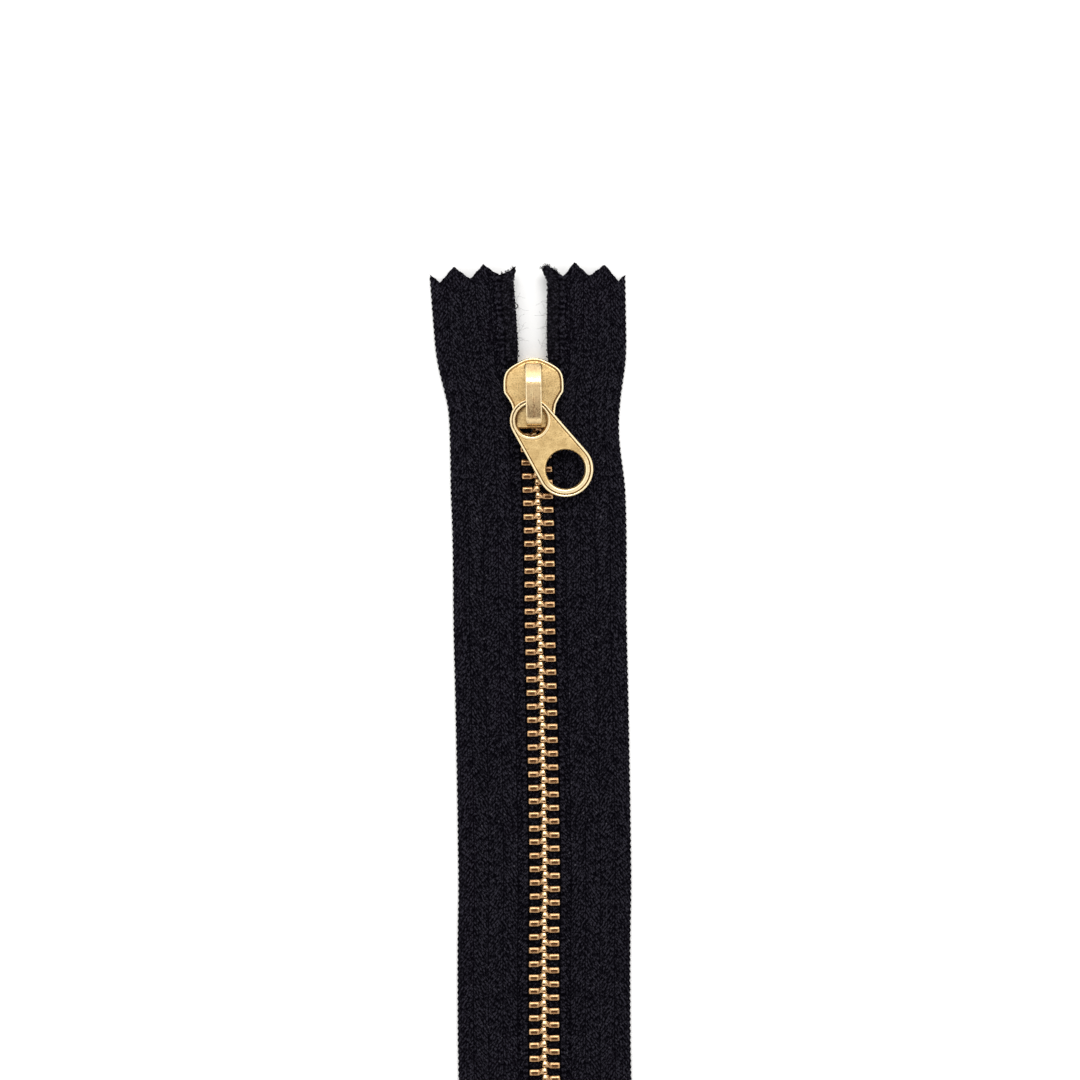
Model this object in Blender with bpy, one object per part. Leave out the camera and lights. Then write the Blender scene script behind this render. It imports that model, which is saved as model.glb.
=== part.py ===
"""Closed-end metal zipper lying flat, with its slider at the top.

Frame: +Y runs up the chain to the slider end, +X to the right, +Z up from the table.
The origin is at the middle of the length, on the chain's centre line, at table height.
Sizes are in millimetres and are turned into metres where each mesh is made.
"""

import math

import bmesh
import bpy
import numpy as np
from mathutils import Matrix, Vector
from mathutils.geometry import tessellate_polygon

MM = 0.001

# Chain, size 5: ten teeth to the inch on each side
TOOTH_PITCH = 2.54
TOOTH_COUNT = 70
TOOTH_THICK = 1.15
HEAD_REACH = 0.6  # past the centre line
LEG_END = 2.85  # from the row's centre line to the outer end of a tooth
CHAIN_HALF_HEIGHT = 1.2
CHAIN_MID_Z = 2.275
LAST_TOOTH_Y = 85.6  # left row; the right row is half a pitch lower
GROUP_COUNT = 23
FIRST_GROUP_TEETH = 2  # the teeth that stay closed below the opening pivot

# Tapes
TAPE_EDGE = 16.0
TAPE_INNER = 2.5
TAPE_HALF_THICK = 0.25
TAPE_END_Y = 107.5
PINK_DEPTH = 2.6
OUTER_SPLAY_SHARE = 0.78  # of the rows' splay that reaches the outer edge of the tape
GAP = 0.05

# Slider, about its own centre
SLIDER_Y = 83.25
PLATE_THICK = 0.95
CHANNEL_TOP = 3.6
TOP_FACE = CHANNEL_TOP + PLATE_THICK
RAIL_DEPTH = 0.85
JUNCTION = -1.55  # where the two rows meet, about the slider's centre
SLIDER_NOSE = 6.67
SLIDER_TAIL = -6.55
THROAT_SPLAY = 2.15  # of each row at the slider's nose
END_SPLAY = 2.8  # of each row at the tape's end

# Crown, the strip that bridges the top plate
CROWN_HALF_WIDTH = 1.5
CROWN_TOP = 8.1
CROWN_THICK = 0.6

# Pull tab
PULL_HINGE_Y = -1.72
PULL_HINGE_Z = 5.53
PULL_THICK = 1.15
PULL_DROOP = math.radians(4.8)
RING_CENTRE = (-0.5, -5.13)
RING_HOLE_R = 2.85
RING_R = 4.05
FINGER_CENTRE = (5.85, -14.1)
FINGER_HOLE_R = 3.6
FINGER_R = 5.28

# Lock spring
SPRING_HALF_WIDTH = 0.65
SPRING_UNDERSIDE = 6.5
SPRING_THICK = 0.32
SPRING_HINGE = (3.6, 4.85)
PRONG_X = (-1.05, -0.68)
PRONG_TIP_Z = 3.0
PRONG_THICK = 0.4

# Ends of the chain
TOP_STOP_GAP = 0.3
TOP_STOP_LENGTH = 2.0
STOP_TOP_Y = -91.7
STOP_LENGTH = 4.0
STOP_HALF_WIDTH = 3.2
OPENING_PIVOT_Y = -86.5


def smooth(t):
    t = min(max(t, 0.0), 1.0)
    return t * t * (3 - 2 * t)


def splay(y):
    """How far each row stands off the centre line at height y."""
    run = y - SLIDER_Y
    throat = THROAT_SPLAY * smooth((run - JUNCTION) / (SLIDER_NOSE - JUNCTION))
    above = (run - SLIDER_NOSE) / (TAPE_END_Y - SLIDER_Y - SLIDER_NOSE)
    return throat + (END_SPLAY - THROAT_SPLAY) * min(max(above, 0.0), 1.0)


def row_point(side, y, u, z, turn=1.0):
    """A point u outward from a row's centre line, square to the row where turn is 1."""
    slope = (splay(y + 0.05) - splay(y - 0.05)) / 0.1
    angle = math.atan(slope) * turn
    x = splay(y) + u * math.cos(angle)
    return (side * x, y - u * math.sin(angle), CHAIN_MID_Z + z)


def clear_scene():
    for obj in list(bpy.data.objects):
        bpy.data.objects.remove(obj, do_unlink=True)


def material(name, colour, roughness, metallic):
    mat = bpy.data.materials.new(name)
    mat.use_nodes = True
    shader = mat.node_tree.nodes["Principled BSDF"]
    shader.inputs["Base Color"].default_value = (*colour, 1.0)
    shader.inputs["Roughness"].default_value = roughness
    shader.inputs["Metallic"].default_value = metallic
    return mat


def axis_empty(name, place):
    empty = bpy.data.objects.new(name, None)
    empty.empty_display_size = 5 * MM
    empty.location = Vector(place) * MM
    bpy.context.scene.collection.objects.link(empty)
    return empty


def solid(name, points, faces, mat, parent=None, flat=True):
    """Makes one object from points in millimetres; its origin is its parent's."""
    base = Vector((0, 0, 0)) if parent is None else parent.location
    mesh = bpy.data.meshes.new(name)
    mesh.from_pydata([Vector(p) * MM - base for p in points], [], faces)
    work = bmesh.new()
    work.from_mesh(mesh)
    bmesh.ops.recalc_face_normals(work, faces=work.faces)
    work.to_mesh(mesh)
    work.free()
    mesh.materials.append(mat)
    if not flat:
        mesh.shade_smooth()
        mesh.set_sharp_from_angle(angle=math.radians(35))
    obj = bpy.data.objects.new(name, mesh)
    obj.parent = parent
    bpy.context.scene.collection.objects.link(obj)
    return obj


def ring_faces(rings, first=0):
    """Quads between rings of equal length, each ring closed on itself."""
    faces = []
    count = len(rings[0])
    for n in range(len(rings) - 1):
        low, high = first + n * count, first + (n + 1) * count
        for k in range(count):
            after = (k + 1) % count
            faces.append((low + k, low + after, high + after, high + k))
    return faces


def fill(outline, holes, offset):
    """Triangles that fill a flat outline round its holes, numbered from offset."""
    loops = [[Vector((a, b, 0)) for a, b in loop] for loop in (outline, *holes)]
    return [tuple(offset + k for k in tri) for tri in tessellate_polygon(loops)]


def prism(outline, low, high, place, holes=()):
    """Points and faces of a straight extrusion; place turns (a, b, height) into a point."""
    loops = [outline, *holes]
    flat = [p for loop in loops for p in loop]
    points = [place(a, b, low) for a, b in flat] + [place(a, b, high) for a, b in flat]
    faces = fill(outline, holes, 0) + fill(outline, holes, len(flat))
    start = 0
    for loop in loops:
        for k in range(len(loop)):
            a, b = start + k, start + (k + 1) % len(loop)
            faces.append((a, b, b + len(flat), a + len(flat)))
        start += len(loop)
    return points, faces


def upright(x, y, z):
    return (x, y + SLIDER_Y, z)


def sideways(y, z, x):
    return (x, y + SLIDER_Y, z)


def mirrored(half):
    """A closed outline from its right half, listed top to bottom."""
    return half + [(-x, y) for x, y in reversed(half) if abs(x) > 1e-9]


def arc(centre, radius, start, end, count):
    angles = np.radians(np.linspace(start, end, count))
    return [
        (centre[0] + radius * math.cos(a), centre[1] + radius * math.sin(a)) for a in angles
    ]


def cut(target, tool, operation):
    tool.hide_render = True
    tool.display_type = "WIRE"
    modifier = target.modifiers.new(tool.name, "BOOLEAN")
    modifier.operation = operation
    modifier.solver = "EXACT"
    modifier.object = tool


# Tapes and cords: strips with a top and a bottom point at each station across

CORD_STATIONS = [(1.28, 0.3), (1.55, 0.72), (2.15, 0.72), (2.42, 0.3)]
TAPE_WAVES = 5  # half teeth of the pinked edge across the tape
TAPE_STEP = (TAPE_EDGE - TAPE_INNER) / TAPE_WAVES
TAPE_STATIONS = [(TAPE_INNER + n * TAPE_STEP, TAPE_HALF_THICK) for n in range(TAPE_WAVES + 1)]
TAPE_DROP = [0.0, 0.0, 0.08, 0.62, 1.42, CHAIN_MID_Z - TAPE_HALF_THICK]


def drop(u):
    """How far the tape hangs below the chain's middle on its way down to the table."""
    return float(np.interp(u, [s for s, _ in TAPE_STATIONS], TAPE_DROP))


def pinked(u):
    """0 at a tip of the zigzag edge, PINK_DEPTH in a valley."""
    waves = (TAPE_EDGE - max(u, TAPE_INNER)) / TAPE_STEP
    return PINK_DEPTH * abs((waves + 1) % 2 - 1)


def strip(name, side, stations, rows, mat, parent, low_end=None, high_end=None):
    """A woven strip that follows a row; an end is level, or pinked where a sign is given."""
    points = []
    for n, y in enumerate(rows):
        for top in (1, -1):
            for u, half in stations:
                end = low_end if n == 0 else high_end if n == len(rows) - 1 else None
                at = y if end is None else y - end * pinked(u)
                turn = 1.0 if u <= TAPE_INNER + 0.3 else 0.0
                share = 1 - (1 - OUTER_SPLAY_SHARE) * max(u - TAPE_INNER, 0) / TAPE_EDGE
                x, place_y, z = row_point(side, at, u, top * half - drop(u), turn)
                points.append((x - side * splay(at) * (1 - share), place_y, z))
    count = len(stations)
    faces = []
    for n in range(len(rows) - 1):
        low, high = n * 2 * count, (n + 1) * 2 * count
        for k in range(count - 1):
            faces.append((low + k, low + k + 1, high + k + 1, high + k))
            under = (low + count + k, high + count + k)
            faces.append((under[0], under[1], under[1] + 1, under[0] + 1))
        for k in (0, count - 1):
            faces.append((low + k, high + k, high + count + k, low + count + k))
    for base in (0, (len(rows) - 1) * 2 * count):
        for k in range(count - 1):
            faces.append((base + k, base + k + 1, base + count + k + 1, base + count + k))
    return solid(name, points, faces, mat, parent, flat=False)


def throat_rows(step):
    """Heights at which a strip needs points, close together where the rows bend."""
    start, end = SLIDER_Y + JUNCTION - 1, SLIDER_Y + SLIDER_NOSE + 1
    return list(np.linspace(start, end, int(round((end - start) / step)) + 1))


def make_tapes(fabric, parents):
    for side, word in ((-1, "left"), (1, "right")):
        rows = [OPENING_PIVOT_Y + GAP, 0.0, *throat_rows(1.5), 99.0]
        tips = TAPE_END_Y
        strip(f"{word}_tape", side, TAPE_STATIONS, [*rows, tips], fabric, parents[side], high_end=1)
        cord_end = TAPE_END_Y - 0.5
        cord_rows = [OPENING_PIVOT_Y + GAP, 0.0, *throat_rows(0.8), 99.0, cord_end]
        strip(f"{word}_cord", side, CORD_STATIONS, cord_rows, fabric, parents[side])
        tail_rows = [-TAPE_END_Y, STOP_TOP_Y - STOP_LENGTH, OPENING_PIVOT_Y - GAP]
        tail = CORD_STATIONS + TAPE_STATIONS
        strip(f"{word}_tape_tail", side, tail, tail_rows, fabric, None, low_end=-1)


# Teeth: jaws clamped round the cord and a head that reaches past the centre line

JAW_HALF_SLIT = 0.32
CAVITY = [(2.5, 0.82), (1.2, 0.82)]
TOOTH_TOP = [(-HEAD_REACH, 0.7), (-0.2, 1.0), (LEG_END, CHAIN_HALF_HEIGHT)]
TOOTH_HALF = TOOTH_TOP + [(LEG_END, JAW_HALF_SLIT)] + CAVITY
TOOTH_OUTLINE = TOOTH_HALF + [(u, -z) for u, z in reversed(TOOTH_HALF)]
LINK_OUTLINE = [(0.72, 0.25), (1.02, 0.25), (1.02, -0.25), (0.72, -0.25)]


def tooth_y(side, number):
    """Height of a tooth's middle, counted from the bottom; the rows are half a pitch apart."""
    stagger = 0.0 if side < 0 else -TOOTH_PITCH / 2
    return LAST_TOOTH_Y + stagger - (TOOTH_COUNT - 1 - number) * TOOTH_PITCH


def tooth_point(side, y, u, z, along):
    """A point of a tooth that stands square to the row at its own middle."""
    slope = (splay(y + 0.05) - splay(y - 0.05)) / 0.1
    angle = math.atan(slope)
    x = splay(y) + u * math.cos(angle) + along * math.sin(angle)
    return (side * x, y - u * math.sin(angle) + along * math.cos(angle), CHAIN_MID_Z + z)


def teeth_group(name, side, numbers, mat, parent):
    """A few teeth of one row, joined by a thin link buried between their waists."""
    points, faces = [], []
    rim, both = len(TOOTH_OUTLINE), len(TOOTH_OUTLINE) + len(LINK_OUTLINE)
    links = []
    for number in numbers:
        y = tooth_y(side, number)
        first = len(points)
        for along in (-TOOTH_THICK / 2, TOOTH_THICK / 2):
            for u, z in TOOTH_OUTLINE + LINK_OUTLINE:
                points.append(tooth_point(side, y, u, z, along))
        for k in range(rim):
            after = (k + 1) % rim
            faces.append((first + k, first + after, first + both + after, first + both + k))
        for cap, linked in ((0, number != numbers[0]), (both, number != numbers[-1])):
            holes = [LINK_OUTLINE] if linked else []
            faces += fill(TOOTH_OUTLINE, holes, first + cap)
            if linked:
                links.append(first + cap + rim)
    for low, high in zip(links[0::2], links[1::2]):
        for k in range(len(LINK_OUTLINE)):
            after = (k + 1) % len(LINK_OUTLINE)
            faces.append((low + k, low + after, high + after, high + k))
    used = sorted({k for face in faces for k in face})
    where = {k: n for n, k in enumerate(used)}
    faces = [tuple(where[k] for k in face) for face in faces]
    return solid(name, [points[k] for k in used], faces, mat, parent)


def make_teeth(brass, parents):
    rest = np.array_split(range(FIRST_GROUP_TEETH, TOOTH_COUNT), GROUP_COUNT - 1)
    groups = [list(range(FIRST_GROUP_TEETH))] + [[int(k) for k in part] for part in rest]
    for side, word in ((-1, "left"), (1, "right")):
        for n, numbers in enumerate(groups):
            parent = parents[side] if n else None
            teeth_group(f"{word}_teeth_{n + 1:02d}", side, numbers, brass, parent)


def make_top_stops(brass, parents):
    """A clamp on each cord above its last tooth, which the slider runs up against."""
    top = [(0.95, 1.0), (LEG_END, 1.15), (LEG_END, JAW_HALF_SLIT)] + CAVITY
    outline = top + [(u, -z) for u, z in reversed(top)]
    for side, word in ((-1, "left"), (1, "right")):
        start = LAST_TOOTH_Y + TOOTH_THICK / 2 + TOP_STOP_GAP
        rows = np.linspace(start, start + TOP_STOP_LENGTH, 4)
        points = [row_point(side, y, u, z) for y in rows for u, z in outline]
        rings = [outline] * len(rows)
        faces = ring_faces(rings)
        faces += fill(outline, [], 0) + fill(outline, [], len(points) - len(outline))
        solid(f"{word}_top_stop", points, faces, brass, parents[side])


def make_bottom_stop(brass):
    """A staple across both cords: two plates and the web between them."""
    half = [(STOP_HALF_WIDTH, 1.3), (STOP_HALF_WIDTH, 0.85), (0.45, 0.85)]
    half += [(x, -z) for x, z in reversed(half)]
    outline = half + [(-x, -z) for x, z in half]
    low, high = STOP_TOP_Y - STOP_LENGTH, STOP_TOP_Y
    points, faces = prism(outline, low, high, lambda x, z, y: (x, y, CHAIN_MID_Z + z))
    solid("bottom_stop", points, faces, brass)


# Slider

SHOULDER = [(5.3, 3.95), (5.7, 2.7), (5.7, 0.3), (5.4, -0.2), (4.5, -1.5), (4.1, -2.4)]
FLANK = SHOULDER[1:] + [(3.95, -3.8), (3.95, SLIDER_TAIL)]
RAIL_INNER = [(3.1, SLIDER_TAIL), (3.1, -2.6), (4.6, -0.3), (5.0, 0.6), (5.05, 2.7)]
POST_HALF = [(0.0, 1.7), (0.3, 3.2), (0.85, 4.7), (0.85, 5.9), (0.0, 6.3)]


def plate_outline():
    nose = [(0.0, SLIDER_NOSE), (1.4, 6.5), (2.7, 5.8), (4.45, 4.8)]
    return mirrored(nose + SHOULDER + [(3.95, -3.8), (3.95, SLIDER_TAIL)])


def make_slider_body(gilt, parent):
    outline = plate_outline()
    points, faces = prism(outline, 0, PLATE_THICK, upright)
    body = solid("slider_body", points, faces, gilt, parent)
    tools = [("top_plate_blank", outline, CHANNEL_TOP, TOP_FACE)]
    post = POST_HALF + [(-x, y) for x, y in reversed(POST_HALF[1:-1])]
    tools.append(("post_blank", post, PLATE_THICK - 0.3, CHANNEL_TOP + 0.3))
    for side, word in ((-1, "left"), (1, "right")):
        rail = [(side * x, y) for x, y in FLANK + RAIL_INNER]
        low = (PLATE_THICK - 0.3, PLATE_THICK + RAIL_DEPTH)
        high = (CHANNEL_TOP - RAIL_DEPTH, CHANNEL_TOP + 0.3)
        tools.append((f"{word}_lower_rail_blank", rail, *low))
        tools.append((f"{word}_upper_rail_blank", rail, *high))
    for name, shape, low, high in tools:
        points, faces = prism(shape, low, high, upright)
        cut(body, solid(name, points, faces, gilt, parent), "UNION")
    left, right = PRONG_X[0] - 0.2, PRONG_X[1] + 0.2
    low, high = prong_y() - 0.5, prong_y() + 0.6
    window = [(left, low), (right, low), (right, high), (left, high)]
    points, faces = prism(window, CHANNEL_TOP - 0.5, TOP_FACE + 0.5, upright)
    cut(body, solid("prong_window", points, faces, gilt, parent), "DIFFERENCE")
    return body


def prong_y():
    """The middle of a gap between left-hand teeth, just above the crown's lower leg."""
    return tooth_y(-1, TOOTH_COUNT - 3) - TOOTH_PITCH / 2 - SLIDER_Y


def make_crown(gilt, parent):
    foot = TOP_FACE + GAP
    under = CROWN_TOP - CROWN_THICK
    outer = [(5.7, foot), (5.6, 5.3), (2.9, 7.7), (2.3, CROWN_TOP), (-4.3, CROWN_TOP)]
    outer += [(-5.3, 7.7), (-6.0, 7.0), (-6.15, 6.2), (-6.15, foot)]
    inner = [(-5.5, foot), (-5.5, 6.3), (-5.3, 6.8), (-4.7, 7.2), (-4.2, under)]
    inner += [(2.1, under), (2.5, 7.2), (4.7, 5.2), (4.75, foot)]
    points, faces = prism(outer + inner, -CROWN_HALF_WIDTH, CROWN_HALF_WIDTH, sideways)
    solid("slider_crown", points, faces, gilt, parent)


def make_lock_spring(steel, parent):
    """A leaf under the crown whose prong drops through the top plate between two teeth."""
    low, top = SPRING_UNDERSIDE, SPRING_UNDERSIDE + SPRING_THICK
    back, front = prong_y() - PRONG_THICK / 2, prong_y() + PRONG_THICK / 2
    foot = TOP_FACE + 0.1
    leaf = [(4.3, foot), (4.3, foot + SPRING_THICK), (3.4, foot + SPRING_THICK), (1.5, top)]
    leaf += [(back, top), (back, low), (1.3, low), (3.2, foot)]
    points, faces = prism(leaf, -SPRING_HALF_WIDTH, SPRING_HALF_WIDTH, sideways)
    spring = solid("lock_spring", points, faces, steel, parent)
    ear = [(back - 0.02, top), (front + 0.6, top), (front + 0.6, low), (back - 0.02, low)]
    points, faces = prism(ear, PRONG_X[0], 0.0, sideways)
    cut(spring, solid("ear_blank", points, faces, steel, parent), "UNION")
    blade = [(back, top - 0.05), (front, top - 0.05), (front, PRONG_TIP_Z), (back, PRONG_TIP_Z)]
    points, faces = prism(blade, *PRONG_X, sideways)
    cut(spring, solid("prong_blank", points, faces, steel, parent), "UNION")


# Pull tab, drawn flat about the slider's centre and then hung on its hinge


def pull_outline():
    """The line round two circles: the ring end and the wider finger end."""
    gap = Vector(FINGER_CENTRE) - Vector(RING_CENTRE)
    heading = math.degrees(math.atan2(gap.y, gap.x))
    flare = math.degrees(math.asin((FINGER_R - RING_R) / gap.length))
    square = 90 + flare
    ring = arc(RING_CENTRE, RING_R, heading + square, heading + 360 - square, 15)
    finger = arc(FINGER_CENTRE, FINGER_R, heading - square, heading + square, 19)
    return ring + finger


def make_pull(gilt, parent):
    holes = [
        arc(RING_CENTRE, RING_HOLE_R, 0, 345, 24),
        arc(FINGER_CENTRE, FINGER_HOLE_R, 0, 345, 24),
    ]
    hang = Matrix.Rotation(PULL_DROOP, 3, "X")

    def place(x, y, z):
        turned = hang @ Vector((x, y - PULL_HINGE_Y, z))
        return (turned.x, turned.y + PULL_HINGE_Y + SLIDER_Y, turned.z + PULL_HINGE_Z)

    half = PULL_THICK / 2
    points, faces = prism(pull_outline(), -half, half, place, holes)
    solid("pull_tab", points, faces, gilt, parent, flat=False)


def main():
    clear_scene()
    fabric = material("tape_fabric", (0.009, 0.008, 0.012), 0.85, 0.0)
    brass = material("tooth_brass", (0.72, 0.47, 0.27), 0.32, 1.0)
    gilt = material("slider_gilt", (0.78, 0.6, 0.4), 0.28, 1.0)
    steel = material("spring_steel", (0.6, 0.6, 0.58), 0.3, 1.0)

    left = axis_empty("left_opening_axis", (0, OPENING_PIVOT_Y, CHAIN_MID_Z))
    right = axis_empty("right_opening_axis", (0, OPENING_PIVOT_Y, CHAIN_MID_Z))
    slider = axis_empty("slider_travel_axis", (0, SLIDER_Y, 0))
    pull = axis_empty("pull_flip_axis", (0, SLIDER_Y + PULL_HINGE_Y, PULL_HINGE_Z))
    spring = axis_empty("lock_lift_axis", (0, SLIDER_Y + SPRING_HINGE[0], SPRING_HINGE[1]))
    parents = {-1: left, 1: right}

    make_tapes(fabric, parents)
    make_teeth(brass, parents)
    make_top_stops(brass, parents)
    make_bottom_stop(brass)
    make_slider_body(gilt, slider)
    make_crown(gilt, slider)
    make_lock_spring(steel, spring)
    make_pull(gilt, pull)


main()
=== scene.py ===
"""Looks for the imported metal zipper: woven tapes, brass teeth, a gilt slider and its pull.

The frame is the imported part's: +Y runs up the chain to the slider end, +X to the right, +Z up
from the table. Sizes are in millimetres and become metres where each mesh is made.
"""

import math

import bmesh
import bpy
import numpy as np
from mathutils import Matrix, Vector
from mathutils.geometry import delaunay_2d_cdt, tessellate_polygon


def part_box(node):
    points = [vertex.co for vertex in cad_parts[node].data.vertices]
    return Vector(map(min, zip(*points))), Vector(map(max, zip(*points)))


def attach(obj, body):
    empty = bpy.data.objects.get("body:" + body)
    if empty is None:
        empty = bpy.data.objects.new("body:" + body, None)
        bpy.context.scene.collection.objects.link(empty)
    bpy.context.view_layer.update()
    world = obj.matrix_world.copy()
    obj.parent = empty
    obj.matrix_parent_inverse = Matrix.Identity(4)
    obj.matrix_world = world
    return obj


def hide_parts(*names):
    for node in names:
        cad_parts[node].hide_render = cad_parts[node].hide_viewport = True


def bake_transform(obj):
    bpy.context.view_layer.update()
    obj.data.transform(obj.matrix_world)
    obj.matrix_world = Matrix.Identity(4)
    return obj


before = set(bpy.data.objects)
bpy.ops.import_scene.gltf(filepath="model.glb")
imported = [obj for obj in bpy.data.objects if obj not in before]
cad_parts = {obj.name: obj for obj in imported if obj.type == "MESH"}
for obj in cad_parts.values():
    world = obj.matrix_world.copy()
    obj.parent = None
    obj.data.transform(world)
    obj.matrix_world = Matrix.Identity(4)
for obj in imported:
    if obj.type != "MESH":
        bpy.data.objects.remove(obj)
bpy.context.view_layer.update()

MM = 0.001
SIDES = ((-1, "left"), (1, "right"))

# The part's own dimensions in millimetres, as its source has them
TOOTH_PITCH = 2.54
TOOTH_COUNT = 70
LEG_END = 2.85
CHAIN_MID_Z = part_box("bottom_stop")[0].z / MM + 1.3
LAST_TOOTH_Y = 85.6
GROUP_COUNT = 23
FIRST_GROUP_TEETH = 2
TAPE_EDGE = 16.0
TAPE_INNER = 2.5
TAPE_END_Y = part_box("left_tape")[1].y / MM
PINK_DEPTH = 2.6
OUTER_SPLAY_SHARE = 0.78
SLIDER_Y = 83.25
SLIDER_NOSE = 6.67
SLIDER_TAIL = -6.55
JUNCTION = -1.55
THROAT_SPLAY = 2.15
END_SPLAY = 2.8


def smooth(t):
    t = np.clip(t, 0.0, 1.0)
    return t * t * (3 - 2 * t)


def bump(t):
    """1 at the middle, falling to 0 some two widths away."""
    return np.exp(-t * t)


def dome(t):
    """A half circle: 1 at the middle, 0 from one width out."""
    return np.sqrt(np.clip(1 - t * t, 0, 1))


def wave(turns):
    """1 at each whole turn and 0 half way between them."""
    return 0.5 + 0.5 * np.cos(2 * np.pi * turns)


def eased(at, span, samples, places, values):
    """The line through values at places, read at samples up to span each way and averaged."""
    steps = np.linspace(-span, span, samples)
    return np.mean([np.interp(at + step, places, values) for step in steps], axis=0)


def splay(y):
    """How far each row stands off the centre line at height y."""
    run = y - SLIDER_Y
    throat = THROAT_SPLAY * smooth((run - JUNCTION) / (SLIDER_NOSE - JUNCTION))
    above = (run - SLIDER_NOSE) / (TAPE_END_Y - SLIDER_Y - SLIDER_NOSE)
    return throat + (END_SPLAY - THROAT_SPLAY) * np.clip(above, 0.0, 1.0)


# A real chain never lies quite straight: heights up the tape, and how far it stands to the right
CHAIN_BEND = ((-75.0, 0.0), (-55.0, -0.2), (-38.0, -0.2), (-24.0, 0.0), (-17.0, 0.17), (-10.0, 0.45),
              (7.0, 0.53), (24.0, 0.5), (41.0, 0.38), (53.0, 0.55), (60.0, 0.53), (71.0, 0.32), (77.0, 0.0))


def bend(y):
    """How far the whole chain stands to the right at height y."""
    return eased(y, 3, 5, *zip(*CHAIN_BEND))


def row_angle(y):
    return np.arctan((splay(y + 0.05) - splay(y - 0.05)) / 0.1)


# Mesh helpers


def finish_mesh(mesh, mat, sharp):
    work = bmesh.new()
    work.from_mesh(mesh)
    bmesh.ops.recalc_face_normals(work, faces=work.faces)
    work.to_mesh(mesh)
    work.free()
    mesh.materials.clear()
    mesh.materials.append(mat)
    mesh.shade_smooth()
    if sharp is not None:
        mesh.set_sharp_from_angle(angle=math.radians(sharp))


def linked(name, data):
    obj = bpy.data.objects.new(name, data)
    bpy.context.scene.collection.objects.link(obj)
    return obj


def piece(name, points, faces, mat, sharp=None, **layers):
    """One object from points in millimetres, with a value or a vector per point in each layer."""
    mesh = bpy.data.meshes.new(name)
    mesh.from_pydata((np.asarray(points) * MM).tolist(), [], faces)
    for key, values in layers.items():
        wide = values.ndim == 2
        layer = mesh.attributes.new(key, "FLOAT_VECTOR" if wide else "FLOAT", "POINT")
        layer.data.foreach_set("vector" if wide else "value", values.astype(np.float32).ravel())
    finish_mesh(mesh, mat, sharp)
    return linked(name, mesh)


def loop_faces(rings, count):
    """Quads between rings of count points each."""
    faces = []
    for low in range(0, (rings - 1) * count, count):
        for k in range(count):
            after = (k + 1) % count
            faces.append((low + k, low + after, low + count + after, low + count + k))
    return faces


def shifted(faces, first):
    return [tuple(first + k for k in face) for face in faces]


def fill(*loops):
    """Triangles that fill a flat outline round its holes."""
    return [tuple(tri) for tri in tessellate_polygon([[Vector((*p, 0)) for p in loop] for loop in loops])]


def capped(rings, count, cap=None):
    """The quads between the rings, and the first and the last ring closed by cap."""
    cap = cap or [tuple(range(count))]
    return loop_faces(rings, count) + cap + shifted(cap, (rings - 1) * count)


def rounded(outline, passes, closed=True):
    """Cuts the corners of a line, again and again, until it runs in a curve."""
    line = np.asarray(outline, float)
    for _ in range(passes):
        after = np.roll(line, -1, axis=0) if closed else line[1:]
        before = line if closed else line[:-1]
        cut = np.stack([0.75 * before + 0.25 * after, 0.25 * before + 0.75 * after], axis=1)
        cut = cut.reshape(-1, line.shape[1])
        line = cut if closed else np.concatenate([line[:1], cut, line[-1:]])
    return line


def resampled(line, count, closed=True):
    """The same line with count points at even spacing."""
    line = np.concatenate([line, line[:1]]) if closed else line
    along = np.concatenate([[0], np.cumsum(np.linalg.norm(np.diff(line, axis=0), axis=1))])
    places = np.linspace(0, along[-1], count, endpoint=not closed)
    return np.stack([np.interp(places, along, column) for column in line.T], axis=1)


def inward(line, passes=8):
    """Unit vectors that point into a closed line which runs clockwise, eased round its corners."""
    ahead = np.roll(line, -1, axis=0) - np.roll(line, 1, axis=0)
    normals = np.stack([ahead[:, 1], -ahead[:, 0]], axis=1)
    for _ in range(passes):
        normals = normals + np.roll(normals, 1, axis=0) + np.roll(normals, -1, axis=0)
        normals /= np.linalg.norm(normals, axis=1)[:, None]
    return normals


def tube(path, radius, sides=5):
    """A closed thin tube along a path of points."""
    path = np.asarray(path, float)
    ahead = np.gradient(path, axis=0)
    ahead /= np.linalg.norm(ahead, axis=1)[:, None]
    across = np.cross(ahead, (0.3, 0.2, 1.0))
    across /= np.linalg.norm(across, axis=1)[:, None]
    over = np.cross(across, ahead)
    turns = np.linspace(0, 2 * np.pi, sides, endpoint=False)
    ring = across[:, None] * np.cos(turns)[:, None] + over[:, None] * np.sin(turns)[:, None]
    return (path[:, None] + radius * ring).reshape(-1, 3), capped(len(path), sides)


def gathered(parts):
    """Several (points, faces) as one."""
    points, faces, first = [], [], 0
    for some, joined in parts:
        points.append(some)
        faces += shifted(joined, first)
        first += len(some)
    return np.concatenate(points), faces


# Material helpers


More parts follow.
